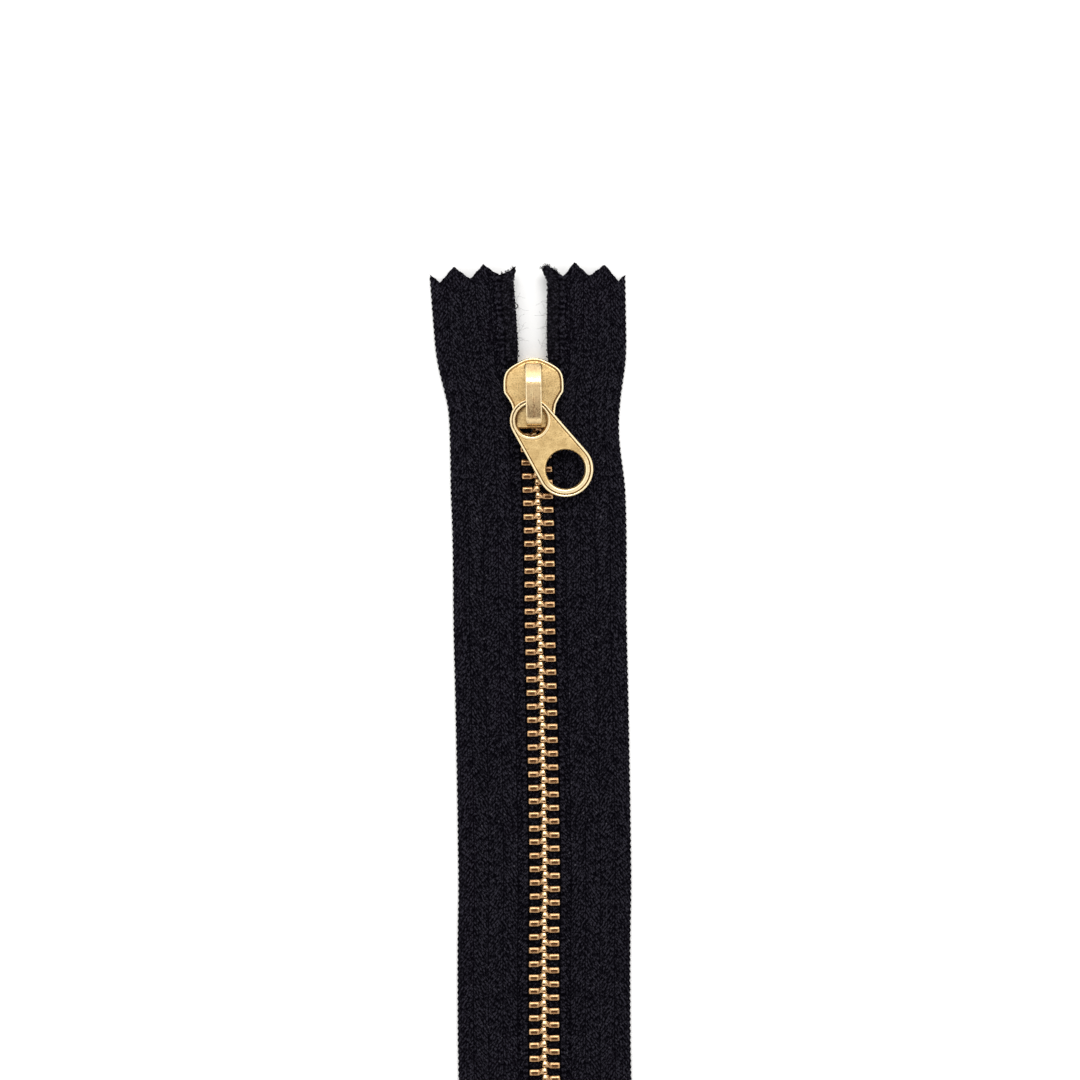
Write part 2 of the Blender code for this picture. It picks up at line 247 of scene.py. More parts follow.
class Nodes:
    """A short way to write the node tree of a material or a world."""

    def __init__(self, owner):
        owner.use_nodes = True
        self.owner, self.tree = owner, owner.node_tree

    def set(self, socket, value):
        if isinstance(value, bpy.types.NodeSocket):
            self.tree.links.new(value, socket)
        else:
            socket.default_value = value

    def node(self, kind, *values, **named):
        """A new node, with its first inputs in order and others by name."""
        made = self.tree.nodes.new(kind)
        for socket, value in zip(made.inputs, values):
            self.set(socket, value)
        for name, value in named.items():
            self.set(made.inputs[name], value)
        return made

    def math(self, operation, *values):
        made = self.node("ShaderNodeMath", *values)
        made.operation = operation
        return made.outputs[0]

    def plus(self, *values):
        return self.math("ADD", *values)

    def minus(self, *values):
        return self.math("SUBTRACT", *values)

    def times(self, *values):
        return self.math("MULTIPLY", *values)

    def over(self, *values):
        return self.math("DIVIDE", *values)

    def ramp(self, value, low, high, to_low=0.0, to_high=1.0):
        """value from low..high, clamped, to to_low..to_high."""
        made = self.node("ShaderNodeMapRange", value, low, high, to_low, to_high)
        made.interpolation_type = "SMOOTHSTEP"
        return made.outputs["Result"]

    def mix(self, share, *colours):
        made = self.node("ShaderNodeMix", share)
        made.data_type = "RGBA"
        for socket, colour in zip((made.inputs[6], made.inputs[7]), colours):
            self.set(socket, (*colour, 1.0) if isinstance(colour, tuple) else colour)
        return made.outputs[2]

    def attribute(self, name, output="Fac"):
        made = self.node("ShaderNodeAttribute")
        made.attribute_name = name
        return made.outputs[output]

    def place(self, scale=(1.0, 1.0, 1.0), source=None):
        """Millimetres on the object, or the given vector, stretched by scale."""
        if source is None:
            source = self.node("ShaderNodeTexCoord").outputs["Object"]
            scale = tuple(s / MM for s in scale)
        made = self.node("ShaderNodeVectorMath", source, scale)
        made.operation = "MULTIPLY"
        return made.outputs[0]

    def parts(self, vector):
        """The three numbers of a vector."""
        return self.node("ShaderNodeSeparateXYZ", vector).outputs

    def pair(self, x, y):
        return self.node("ShaderNodeCombineXYZ", x, y).outputs[0]

    def noise(self, vector, scale, detail=3.0, roughness=0.55):
        made = self.node("ShaderNodeTexNoise", Vector=vector, Scale=scale, Detail=detail, Roughness=roughness)
        return made.outputs["Fac"]

    def bump(self, height, depth_mm, strength=1.0, **under):
        made = self.node("ShaderNodeBump", Height=height, Distance=depth_mm * MM, Strength=strength, **under)
        return made.outputs["Normal"]

    def finish(self, **sockets):
        shader = self.tree.nodes["Principled BSDF"]
        for name, value in sockets.items():
            self.set(shader.inputs[name.replace("_", " ")], value)
        return self.owner


# Woven tape: a herringbone of slanted floats, with a stitched band beside the bead

YARN = 0.45
SELVEDGE = YARN / 2
STRIPE_YARNS = 6
BAND_START = SELVEDGE + 4 * STRIPE_YARNS * YARN
FLOAT_REPEAT = 1.12
FLOAT_STEP = 0.68
FLOAT_SLANT = 0.6
WEAVE_DEPTH = 0.08
SCALLOP = 0.22
DASH_ANGLE = math.radians(52)
DASH_SIZE = (0.62, 0.32)  # along and across one visible float
DASH_SCATTER = 0.68
TAPE_HALF_THICK = 0.25
PICK = FLOAT_REPEAT / 4
SEAM_START = TAPE_EDGE - TAPE_INNER - 0.75  # the groove between the cloth and the bead, along which the cloth is painted dark as shade
COTTON = {"Roughness": 0.85, "Specular_IOR_Level": 0.015}


def weave(a, v):
    """Height, 0 to 1, of the cloth at a in from the outer selvedge and v along the tape."""
    end = (a - SELVEDGE) / YARN
    lean = np.where(np.floor(end / STRIPE_YARNS) % 2 == 0, 1.0, -1.0)
    across = 0.5 - 0.5 * np.cos(2 * np.pi * end)
    turn = v / FLOAT_REPEAT - lean * np.floor(end) * FLOAT_STEP
    herringbone = across * wave(turn)
    bars = 0.5 + 0.3 * np.cos(2 * np.pi * v / FLOAT_REPEAT)
    bars *= smooth((a - BAND_START) / 0.4) * smooth((SEAM_START + 0.05 - a) / 0.3)
    return np.where(a < BAND_START, herringbone, bars)


def dash_pattern(g, a, v):
    """Short slanted floats of thread, each with its own brightness: painted sheen on the floats, dark between
    them as painted shade.
    """
    cos, sin = math.cos(DASH_ANGLE), math.sin(DASH_ANGLE)
    ahead = g.plus(g.times(a, cos), g.times(v, sin))
    beside = g.minus(g.times(v, cos), g.times(a, sin))
    spot = g.pair(g.over(ahead, DASH_SIZE[0]), g.over(beside, DASH_SIZE[1]))
    cells = g.node("ShaderNodeTexVoronoi", Vector=spot, Scale=1.0, Randomness=DASH_SCATTER)
    cells.voronoi_dimensions = "2D"
    luck = g.parts(cells.outputs["Color"])[0]
    dashes = g.ramp(cells.outputs["Distance"], 0.1, 0.62, 1.0, 0.0)
    return g.times(dashes, g.plus(0.3, g.math("POWER", luck, 1.8)))


def fabric_material():
    """Black cotton: the weave again, at the width of single threads, with lint and uneven dye. The raised
    floats are painted lighter as painted sheen, and the gaps between threads are painted dark as painted
    shade.
    """
    g = Nodes(bpy.data.materials.new("woven_black_cotton"))
    cloth = g.attribute("cloth_mm", "Vector")
    a, along, _ = g.parts(cloth)
    v = g.plus(along, g.times(g.minus(g.noise(cloth, 0.9), 0.5), 0.9))
    end = g.over(g.minus(a, SELVEDGE), YARN)
    whole = g.math("FLOOR", end)
    part = g.minus(g.minus(end, whole), 0.5)
    stripe = g.over(end, STRIPE_YARNS)
    odd = g.math("ABSOLUTE", g.math("MODULO", g.math("FLOOR", stripe), 2.0))
    lean = g.minus(1.0, g.times(odd, 2.0))
    step = g.plus(g.times(whole, FLOAT_STEP), g.times(part, FLOAT_SLANT))
    repeats = g.over(v, FLOAT_REPEAT)
    turn = g.minus(repeats, g.times(lean, step))
    floats = g.ramp(g.math("COSINE", g.times(turn, 2 * math.pi)), -0.7, 0.8)
    floats = g.times(floats, g.math("COSINE", g.times(part, math.pi)))
    each = g.pair(whole, g.math("FLOOR", g.plus(turn, 0.5)))
    lottery = g.node("ShaderNodeTexWhiteNoise", Vector=each).outputs["Value"]
    floats = g.times(floats, g.plus(g.times(g.math("POWER", lottery, 1.6), 1.3), 0.3))
    loose = g.ramp(a, BAND_START - 0.2, BAND_START + 0.2, 0.45, 0.0)
    bars = g.ramp(g.math("COSINE", g.times(repeats, 2 * math.pi)), -0.2, 0.9)
    bars = g.times(bars, g.ramp(a, SEAM_START - 0.75, SEAM_START - 0.55))
    # Painted sheen and shade: the colour follows the thread relief below, lighter on raised floats, dashes
    # and bars, darker in the gaps between them.
    lift = g.plus(dash_pattern(g, g.times(a, lean), v), g.times(floats, loose))
    lift = g.plus(lift, g.times(bars, 0.45))
    seam = g.math("ABSOLUTE", g.minus(stripe, g.math("ROUND", stripe)))
    seam = g.plus(seam, g.math("LESS_THAN", stripe, 0.5))
    lift = g.times(lift, g.ramp(seam, 0.02, 0.06, 0.45, 1.0))
    fibre = g.noise(g.place((9.0, 2.6, 1.0), cloth), 1.0, 3.0, 0.65)
    light = g.times(lift, g.ramp(g.noise(cloth, 2.1, 3.0, 0.6), 0.3, 0.72, 0.6, 1.5))
    light = g.math("POWER", g.times(light, g.ramp(fibre, 0.25, 0.75, 0.7, 1.4)), 1.45)
    # Painted shade: the cloth is darkened along the groove beside the bead, less where the bead runs free
    # above the teeth.
    free = g.ramp(along, LAST_TOOTH_Y + 3, LAST_TOOTH_Y + 7, 0.9, 0.45)
    groove = g.times(g.ramp(a, SEAM_START, SEAM_START + 0.2), free)
    light = g.times(light, g.minus(1.0, groove))
    colour = g.mix(light, (0.0004, 0.0002, 0.001), (0.0185, 0.0173, 0.024))
    lint = g.noise(g.place((1.0, 0.75, 1.0), cloth), 1.9, 1.0, 0.4)
    colour = g.mix(g.ramp(lint, 0.7, 0.8), colour, (0.045, 0.043, 0.052))
    normal = g.bump(lift, 0.07, 0.8, Normal=g.bump(fibre, 0.03))
    return g.finish(**COTTON, Base_Color=colour, Normal=normal)


DROP_STATIONS = (2.5, 5.2, 7.9, 10.6, 13.3, 16.0)
DROPS = (0.0, 0.0, 0.08, 0.62, 1.42, CHAIN_MID_Z - TAPE_HALF_THICK)


def drop(u):
    """How far the tape hangs below the chain's middle, eased over its folds."""
    return eased(u, 1.3, 7, DROP_STATIONS, DROPS)


# The cut end of each tape, from the selvedge in: distance from the row and height
PINKED_TOP = {
    -1: ((16.3, 106.5), (14.1, 104.6), (11.4, 107.5), (8.45, 105.05), (5.8, 107.8),
         (3.1, 105.8), (1.6, 106.3), (0.4, 107.3)),
    1: ((16.4, 105.9), (14.6, 104.3), (12.0, 107.4), (8.9, 105.25), (5.9, 107.9),
        (3.7, 105.3), (2.5, 106.7), (1.5, 107.35), (1.0, 107.2), (0.4, 106.3)),
}
LEAN_INNER = 0.3
LEAN_OUTER = 0.9
LEAN_START = -2.0  # about the slider's centre
HOOK = {-1: 0.6, 1: 1.05}  # how far the loose end of each bead curls toward the gap
HOOK_START = 104.1
HOOK_LENGTH = 2.8
SPREAD_AT = (-20.0, 45.0, 60.0, 65.5, 73.0, 77.0, 84.0)
SPREAD = {  # how much wider than its flat shape each tape lies at those heights
    -1: (0.44, 0.44, 0.5, 0.6, 0.24, 0.0, 0.2),
    1: (0.4, 0.5, 0.72, 0.75, -0.2, -0.15, 0.4),
}
CUT_ZONE = 8.0


def top_cut(side, u):
    """Height of the pinked end at u, with the small steps of cut threads."""
    places, heights = zip(*sorted(PINKED_TOP[side]))
    threads = 0.07 * np.sin(u * 23.0 + side) + 0.05 * np.sin(u * 41.0)
    return np.interp(u, places, heights) + threads


def bottom_cut(u):
    waves = (TAPE_EDGE - np.maximum(u, TAPE_INNER)) / ((TAPE_EDGE - TAPE_INNER) / 5)
    threads = 0.07 * np.sin(u * 19.0) + 0.05 * np.sin(u * 37.0)
    return -TAPE_END_Y + PINK_DEPTH * np.abs((waves + 1) % 2 - 1) + np.abs(threads)


def to_cut(side, u, y):
    """Draws the last stretch of each end to the line it was cut along."""
    top = TAPE_END_Y - CUT_ZONE
    high = top + (y - top) * (top_cut(side, u) - top) / CUT_ZONE
    low = -top + (y + top) * (bottom_cut(u) + top) / -CUT_ZONE
    return np.where(y > top, high, np.where(y < -top, low, y))


def on_tape(side, u, y, z):
    """The place of a point of the textile, u out from its row and z off its own middle."""
    turn = row_angle(y) * (1 - smooth((u - TAPE_INNER) / 5))
    outward = np.maximum(u - TAPE_INNER, 0) / TAPE_EDGE
    kept = 1 - (1 - OUTER_SPLAY_SHARE) * outward
    calmer = np.mean([splay(y + step) for step in (-4.5, -3, -1.5, 0, 1.5, 3, 4.5)], axis=0)
    stand = splay(y) * (1 - outward) + calmer * outward
    lean = np.clip((y - SLIDER_Y - LEAN_START) / (TAPE_END_Y - SLIDER_Y - LEAN_START), 0, 1)
    lean = lean**2 * LEAN_INNER + (lean**0.8 * LEAN_OUTER - lean**2 * LEAN_INNER) * u / TAPE_EDGE
    hook = HOOK[side] * smooth((y - HOOK_START) / HOOK_LENGTH) * (1 - smooth((u - 1.9) / 2.2))
    wider = eased(y, 2, 5, SPREAD_AT, SPREAD[side])
    x = side * (stand * kept + u * np.cos(turn) - hook + wider * outward**2) - lean + bend(y)
    return np.stack([x, y - u * np.sin(turn), CHAIN_MID_Z - drop(u) + z], axis=-1)


def make_tape(side, word, mat):
    """The whole tape from its tail to its pinked top, as one closed cloth."""
    step = YARN / 2
    a = np.arange(0, TAPE_EDGE - TAPE_INNER + step / 2, step)
    rows = np.append(np.arange(-TAPE_END_Y, TAPE_END_Y, PICK), TAPE_END_Y)
    across, along = np.meshgrid(a, rows)
    along = to_cut(side, TAPE_EDGE - across, along)
    height = weave(across, along)
    edge = np.minimum(across, TAPE_EDGE - TAPE_INNER - across)
    half = TAPE_HALF_THICK * np.sqrt(np.clip(edge / 0.5, 0.06, 1.0))
    at_edge = np.exp(-across / 0.35)
    scallop = SCALLOP * (0.5 + 0.5 * np.cos(2 * np.pi * along / FLOAT_REPEAT)) * at_edge
    u = TAPE_EDGE - across - 0.16 * at_edge + scallop
    relief = WEAVE_DEPTH * (1 - height) * np.clip(edge / 0.4, 0.3, 1.0)
    top = on_tape(side, u, along, half - relief)
    under = on_tape(side, u, along, -half + 0.6 * relief)
    points = np.concatenate([top, under[:, ::-1]], axis=1)
    ring = points.shape[1]
    faces = loop_faces(len(rows), ring)
    last = (len(rows) - 1) * ring
    for base in (0, last):
        for k in range(len(a) - 1):
            faces.append((base + k, base + k + 1, base + ring - 2 - k, base + ring - 1 - k))
    place = np.stack([across, along, 0 * across], axis=-1)
    place = np.concatenate([place, place[:, ::-1]], axis=1)
    cloth = piece(f"{word}_woven_tape", points.reshape(-1, 3), faces, mat, cloth_mm=place.reshape(-1, 3))
    dress(cloth, "tape_fabric", f"{word}_tape", f"{word}_tape_tail")
    bend_open(cloth)


def dress(obj, slot, *nodes):
    if nodes:
        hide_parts(*nodes)


def bend_open(obj):
    """Bakes the textile's placement into its mesh."""
    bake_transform(obj)


# Bead: the ribbed cord along the inner edge, which the teeth are clamped on

BEAD_MID = 1.77
BEAD_HALF_WIDTH = 1.07
BEAD_HALF_HEIGHT = 0.8
BEAD_PINCH = 0.45
BEAD_FREE = 0.16  # how much plumper it is where nothing is clamped on it
RIB_PITCH = TOOTH_PITCH / 5
LOCKED_LOW = -88.4  # where the lock's prong comes down when the slider is at the bottom
PRONG_DENT = 0.16
BEAD_SIDES = 28
BEAD_STEP = 0.16


def tooth_y(side, number):
    stagger = 0.0 if side < 0 else -TOOTH_PITCH / 2
    return LAST_TOOTH_Y + stagger - (TOOTH_COUNT - 1 - number) * TOOTH_PITCH


def in_tooth(side, y):
    """1 inside a tooth or a stop, 0 between them."""
    low = tooth_y(side, 0)
    phase = (y - low + TOOTH_PITCH / 2) % TOOTH_PITCH - TOOTH_PITCH / 2
    teeth = 1 - smooth((np.abs(phase) - 0.5) / 0.3)
    teeth = teeth * (y > low - 0.9) * (y < LAST_TOOTH_Y + 0.9)
    stop = 1 - smooth((np.abs(y - LAST_TOOTH_Y - 1.87) - 1.0) / 0.3)
    return np.maximum(teeth, stop)


def squared(t, power):
    """A sine or cosine, pressed toward the outline of a box."""
    return np.sign(t) * np.abs(t) ** power


def make_bead(side, word, mat):
    rows = np.append(np.arange(-TAPE_END_Y, TAPE_END_Y, BEAD_STEP), TAPE_END_Y)
    turns = np.linspace(0, 2 * np.pi, BEAD_SIDES, endpoint=False)
    around, along = np.meshgrid(turns, rows)
    held = in_tooth(side, along)
    rib = wave(along / RIB_PITCH + 0.35 * np.cos(around))
    stitch = 0.5 + 0.5 * np.cos(2 * np.pi * along / FLOAT_REPEAT + np.cos(around))
    free = BEAD_FREE * smooth((along - LAST_TOOTH_Y - 3.2) / 4)
    width = BEAD_HALF_WIDTH * (1 - BEAD_PINCH * held) + free - 0.03 * (1 - rib)
    width = width - (0.01 + 0.14 * free / BEAD_FREE) * (1 - stitch)
    height = BEAD_HALF_HEIGHT * (1 - 0.2 * held) - 0.03 * (1 - rib)
    height = height - (side < 0) * PRONG_DENT * bump((along - LOCKED_LOW) / 0.6)
    u = BEAD_MID - free + width * squared(np.cos(around), 0.72)
    z = height * squared(np.sin(around), 0.72)
    along = to_cut(side, u, along)
    points = on_tape(side, u, along, z).reshape(-1, 3)
    # Painted sheen and shade: this share is higher on the rib crests and where the bead runs free above the
    # teeth, low along the teeth that shade it.
    lit_share = (0.7 + 0.3 * rib) * (0.45 + 0.55 * free / BEAD_FREE)
    place = np.stack([TAPE_EDGE - u, along, lit_share], axis=-1).reshape(-1, 3)
    bead = piece(f"{word}_sewn_bead", points, capped(len(rows), BEAD_SIDES), mat, cloth_mm=place)
    dress(bead, "tape_fabric", f"{word}_cord")
    bend_open(bead)


def bead_material():
    """The same black cotton, wound round the cord in ribs, painted lighter on the rib crests as sheen and
    darker along the teeth as shade.
    """
    g = Nodes(bpy.data.materials.new("wound_black_cotton"))
    cloth = g.attribute("cloth_mm", "Vector")
    a, along, lit_share = g.parts(cloth)
    fibre = g.noise(g.place((2.2, 9.0, 1.0), cloth), 1.0, 3.0, 0.65)
    patch = g.noise(g.place((1.0, 1.0, 0.2), cloth), 1.4, 3.0, 0.6)
    light = g.plus(g.times(lit_share, 0.08), g.times(dash_pattern(g, a, g.times(along, 1.2)), 1.1))
    light = g.times(light, g.ramp(lit_share, 0.0, 0.9, 0.3, 1.0))
    light = g.times(light, g.ramp(patch, 0.35, 0.65, 0.35, 1.7))
    light = g.math("POWER", g.times(light, g.ramp(fibre, 0.25, 0.75, 0.5, 1.5)), 1.25)
    colour = g.mix(light, (0.0006, 0.0004, 0.001), (0.018, 0.0168, 0.0225))
    # Painted glint: points of the thread loops with a share over 1 turn pale.
    colour = g.mix(g.ramp(lit_share, 1.0, 2.0), colour, (0.09, 0.088, 0.105))
    return g.finish(**COTTON, Base_Color=colour, Normal=g.bump(fibre, 0.05))


# Loose fibres at the cut ends and along the inner edge

FIBRE_RADIUS = 0.035
FIBRES_PER_TIP = 70
FUZZ_COUNT = 60
WISP_COUNT = 16
LOOP_TURNS = np.radians(np.linspace(130, 230, 6))
LOOP_R = (1.1, 0.87)
# Painted highlight: how light the thread loops are painted on each side; a share above 1 paints a pale glint
LOOP_GLINT = {-1: (0.8, 1.9), 1: (0.4, 1.0)}
CURL_AT = (0.4, 99.8)  # one loose curl of thread in the gap


def fibre_path(start, heading, length, curl, rng):
    """A short thread that wanders off from start."""
    path = [np.array(start, float)]
    heading = np.array(heading, float)
    steps = 6
    for _ in range(steps):
        heading = heading + curl * rng.normal(size=3) * (1, 1, 0.5)
        heading /= np.linalg.norm(heading)
        path.append(path[-1] + heading * length / steps)
    return np.array(path)


def make_fibres(side, word, mat):
    rng = np.random.default_rng(11 if side < 0 else 23)
    strands, lit_shares = [], []

    def add(path, thickness, sides=5, share=0.6):
        strands.append(tube(path, FIBRE_RADIUS * thickness, sides))
        lit_shares.append(np.full(len(strands[-1][0]), share))

    for _ in range(FIBRES_PER_TIP):
        u = rng.uniform(0.7, 3.2)
        start = on_tape(side, u, float(top_cut(side, u)) - 0.35, rng.uniform(-0.45, 0.45))
        heading = (side * rng.uniform(-0.9, 0.3), 1.0, 0.1)
        add(fibre_path(start, heading, rng.uniform(0.4, 1.1), 0.4, rng), 1.3)
    for _ in range(FUZZ_COUNT):
        y = rng.uniform(SLIDER_Y + SLIDER_NOSE + 0.5, TAPE_END_Y - 2)
        start = on_tape(side, BEAD_MID - BEAD_HALF_WIDTH * 0.8, y, rng.uniform(-0.5, 0.5))
        heading = (-side * 0.6, rng.normal(), 0.2)
        add(fibre_path(start, heading, rng.uniform(0.3, 0.8), 0.5, rng), 0.8)
    for _ in range(WISP_COUNT):
        y = rng.uniform(SLIDER_Y + SLIDER_NOSE + 2, TAPE_END_Y - 6)
        start = on_tape(side, 0.6, y, rng.uniform(-0.3, 0.3))
        heading = (-side, rng.normal(), 0.1)
        add(fibre_path(start, heading, rng.uniform(1.2, 3.0), 0.35, rng), 0.35, 4)
    rise = np.linspace(-0.22, 0.22, len(LOOP_TURNS))
    for y in np.arange(LAST_TOOTH_Y + 3.6, TAPE_END_Y - 1.6, FLOAT_REPEAT):
        y = y + rng.uniform(-0.12, 0.12)
        wrap = [(BEAD_MID - 0.3 + LOOP_R[0] * math.cos(t), LOOP_R[1] * math.sin(t)) for t in LOOP_TURNS]
        path = [on_tape(side, u, y + d, z) for (u, z), d in zip(wrap, rise)]
        add(path, 2.8, share=rng.uniform(*LOOP_GLINT[side]))
    if side < 0:
        middle = on_tape(side, *CURL_AT, 0.0)
        curl = [(0.42 * math.sin(t), 0.4 * math.cos(t), 0.08 * t) for t in np.linspace(0, 1.6 * math.pi, 16)]
        add([middle + step for step in curl], 2.6)
    points, faces = gathered(strands)
    place = np.column_stack([points[:, :2], np.concatenate(lit_shares)])
    fray = piece(f"{word}_frayed_fibres", points, faces, mat, cloth_mm=place)
    dress(fray, "tape_fabric")
    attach(fray, f"{word}_stringer")


# Teeth: a split leg clamped on the bead, a narrow waist and a domed head

LEG_HALF = 0.555
LEG_TOP = 1.2
HEAD_HALF = 0.6
HEAD_SHIFT = 0.22
HEAD_TIP = -0.58
SLIM = 0.87
SLIM_TEETH = 4
TOOTH_STATIONS = (-1, -0.95, -0.85, -0.68, -0.5, -0.32, -0.12, 0.06, 0.2, 0.36, 0.55, 0.75, 0.88, 0.96, 1)
TOOTH_NOSE = ((0.03, 0.3), (0.04, 0.0), (0.03, -0.3))  # past the head's tip, and height
TOOTH_CAVITY = ((2.85, 0.32), (2.62, 0.56), (2.4, 0.78), (1.45, 0.78), (1.2, 0.55))


def tooth_top(u, s):
    """Height of a tooth's upper face; how dark the point is painted, as brown patina and painted shade in the
    leg's dimple, the waist's crease and the head's socket; and its painted highlight on the upper side of the
    head's dome.
    """
    head = smooth((0.75 - u) / 0.4)
    leg = 1 - head
    corner = 1 - dome(np.clip((u - LEG_END + 0.22) / 0.22, 0, 0.999))
    z = LEG_TOP - 0.2 * corner
    z = z - 0.26 * bump((u - 0.72) / 0.22)
    z = z - leg * (0.24 * smooth((s - 0.3) / 0.7) + 0.1 * smooth((-s - 0.75) / 0.25))
    across = smooth((u - 1.08) / 0.34) * smooth((2.68 - u) / 0.28)
    pit = leg * across * smooth((s + 0.74) / 0.3) * smooth((0.26 - s) / 0.3)
    z = z - 0.24 * pit
    crease = bump((u - 0.82 + 0.28 * s) / 0.12) * smooth((0.95 - abs(s)) / 0.2)
    tip = np.clip((-u - 0.2) / 0.38, 0, 1) ** 2
    brow = np.clip(s + 0.1, 0, 1.1)
    z_head = 1.0 - 0.32 * brow**1.35 - 0.17 * (u / 0.45) ** 2 - 0.3 * tip
    hole = bump((u + 0.05) / 0.3) * bump((s + 0.55) / 0.3)
    z_head = z_head - 0.3 * hole
    # Brown patina and painted shade: darker in the leg's dimple, the waist's crease and the head's socket.
    recess = np.maximum(pit, np.maximum(1.4 * head * hole, 0.85 * crease))
    # Painted highlight: the upper side of the head's dome, toward the light, is painted lighter.
    shine = head * bump(u / 0.34) * bump((s - 0.3) / 0.5)
    return leg * z + head * z_head - 0.13 * crease, np.clip(recess, 0, 1), shine


def tooth_along(u, s):
    """Where a point lies along the chain: the head stands a little nearer the slider."""
    head = smooth((0.75 - u) / 0.4)
    half = LEG_HALF + (HEAD_HALF - LEG_HALF) * head - 0.19 * bump((u - 0.74) / 0.2)
    half = half * (1 - 0.3 * np.clip((-u - 0.2) / 0.38, 0, 1) ** 2)
    return HEAD_SHIFT * head + half * s


def tooth_shape():
    """Points (out, along, up), faces, recess and polish of one tooth about its row's line."""
    line = np.concatenate([
        [LEG_END, LEG_END - 0.04, LEG_END - 0.12, LEG_END - 0.22],
        np.linspace(2.5, 1.05, 11),
        np.linspace(0.92, -0.46, 13),
        [-0.54, HEAD_TIP],
    ])
    points, recess, polish = [], [], []
    for s in TOOTH_STATIONS:
        edge = np.clip((abs(s) - 0.8) / 0.2, 0, 0.995)
        inset = 0.1 * (1 - dome(edge))
        top, deep, shine = tooth_top(line, s)
        out = line - inset * smooth((line - 2.5) / 0.3) + inset * smooth((-line) / 0.5)
        loop = [(u, z - inset) for u, z in zip(out, top)]
        loop += [(HEAD_TIP - past + inset, z) for past, z in TOOTH_NOSE]
        loop += [(u, -(z - inset)) for u, z in reversed(list(zip(out, top)))]
        loop += [(u, -z) for u, z in TOOTH_CAVITY] + [(u, z) for u, z in reversed(TOOTH_CAVITY)]
        loop = np.array(loop)
        along = tooth_along(loop[:, 0], s)
        points.append(np.stack([loop[:, 0], along, loop[:, 1]], axis=1))
        # The faces inside the clamp are painted darker, as shade.
        inside = np.ones(2 * len(TOOTH_CAVITY))
        recess.append(np.concatenate([deep, [0, 0, 0], deep[::-1], 0.6 * inside]))
        polish.append(np.concatenate([shine, [0, 0, 0], shine[::-1], 0 * inside]))
    faces = capped(len(TOOTH_STATIONS), len(points[0]), fill(points[0][:, [0, 2]]))
    return np.concatenate(points), faces, np.concatenate(recess), np.concatenate(polish)


def by_row(side, y, angle, out, along, z):
    """Points out from a row and along it, where it stands at height y and leans by angle."""
    x = float(splay(y)) + out * math.cos(angle) + along * math.sin(angle)
    place = y - out * math.sin(angle) + along * math.cos(angle)
    return np.stack([side * x + bend(place), place, z], axis=1)


def placed_tooth(side, number, shape):
    """One tooth's points, standing square to its row; each is a little different, and the lowest
    ones are a little thinner, so that they clear each other when the rows open."""
    y = tooth_y(side, number)
    angle = float(row_angle(y)) + 0.012 * math.sin(number * 2.3 + side)
    lift = 0.025 * math.sin(number * 1.7 + 2 * side)
    out, along, up = shape.T
    along = along * (SLIM if number < SLIM_TEETH else 1.0)
    return by_row(side, y, angle, out, along, CHAIN_MID_Z + lift + up)


def make_teeth(mat):
    shape, faces, recess, polish = tooth_shape()
    rest = np.array_split(range(FIRST_GROUP_TEETH, TOOTH_COUNT), GROUP_COUNT - 1)
    groups = [list(range(FIRST_GROUP_TEETH))] + [[int(k) for k in part] for part in rest]
    for side, word in SIDES:
        for n, numbers in enumerate(groups):
            points, joined = gathered([(placed_tooth(side, k, shape), faces) for k in numbers])
            name = f"{word}_stamped_teeth_{n + 1:02d}"
            layers = {"recess": np.tile(recess, len(numbers)), "polish": np.tile(polish, len(numbers))}
            row = piece(name, points, joined, mat, 50, **layers)
            dress(row, "tooth_brass", f"{word}_teeth_{n + 1:02d}")
            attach(row, f"{word}_stringer" if n else "bottom_end")


def brass_material():
    """Stamped brass: polished spots lightened as a painted highlight, and brown in its hollows, partly patina
    and partly painted shade.
    """
    g = Nodes(bpy.data.materials.new("stamped_brass"))
    place = g.place()
    stain = g.noise(place, 2.4, 4.0, 0.6)
    grain = g.noise(place, 14.0, 2.0)
    tone = g.mix(g.ramp(stain, 0.3, 0.7), (0.345, 0.192, 0.09), (0.58, 0.375, 0.195))
    # Painted highlight: polished spots are lightened toward pale gold.
    tone = g.mix(g.attribute("polish"), tone, (0.92, 0.73, 0.42))
    # Brown patina and painted shade in the hollows, with random stain.
    dark = g.plus(g.attribute("recess"), g.times(g.minus(stain, 0.5), 0.7))
    colour = g.mix(g.ramp(dark, 0.15, 0.95), tone, (0.085, 0.038, 0.016))
    roughness = g.ramp(grain, 0.25, 0.75, 0.22, 0.4)
    return g.finish(Metallic=1.0, Base_Color=colour, Roughness=roughness, Normal=g.bump(grain, 0.012, 0.7))


# Stops: clamped on the cords above the teeth, and a staple across both below them

STAPLE_EDGE = 0.3
STOP_LINE = ((0.95, 0.55), (1.0, 0.85), (1.25, 1.0), (2.5, 1.12), (2.75, 1.06), (2.85, 0.85), (2.85, 0.4))
STOP_CAVITY = ((2.62, 0.6), (2.4, 0.8), (1.4, 0.8), (1.2, 0.6))


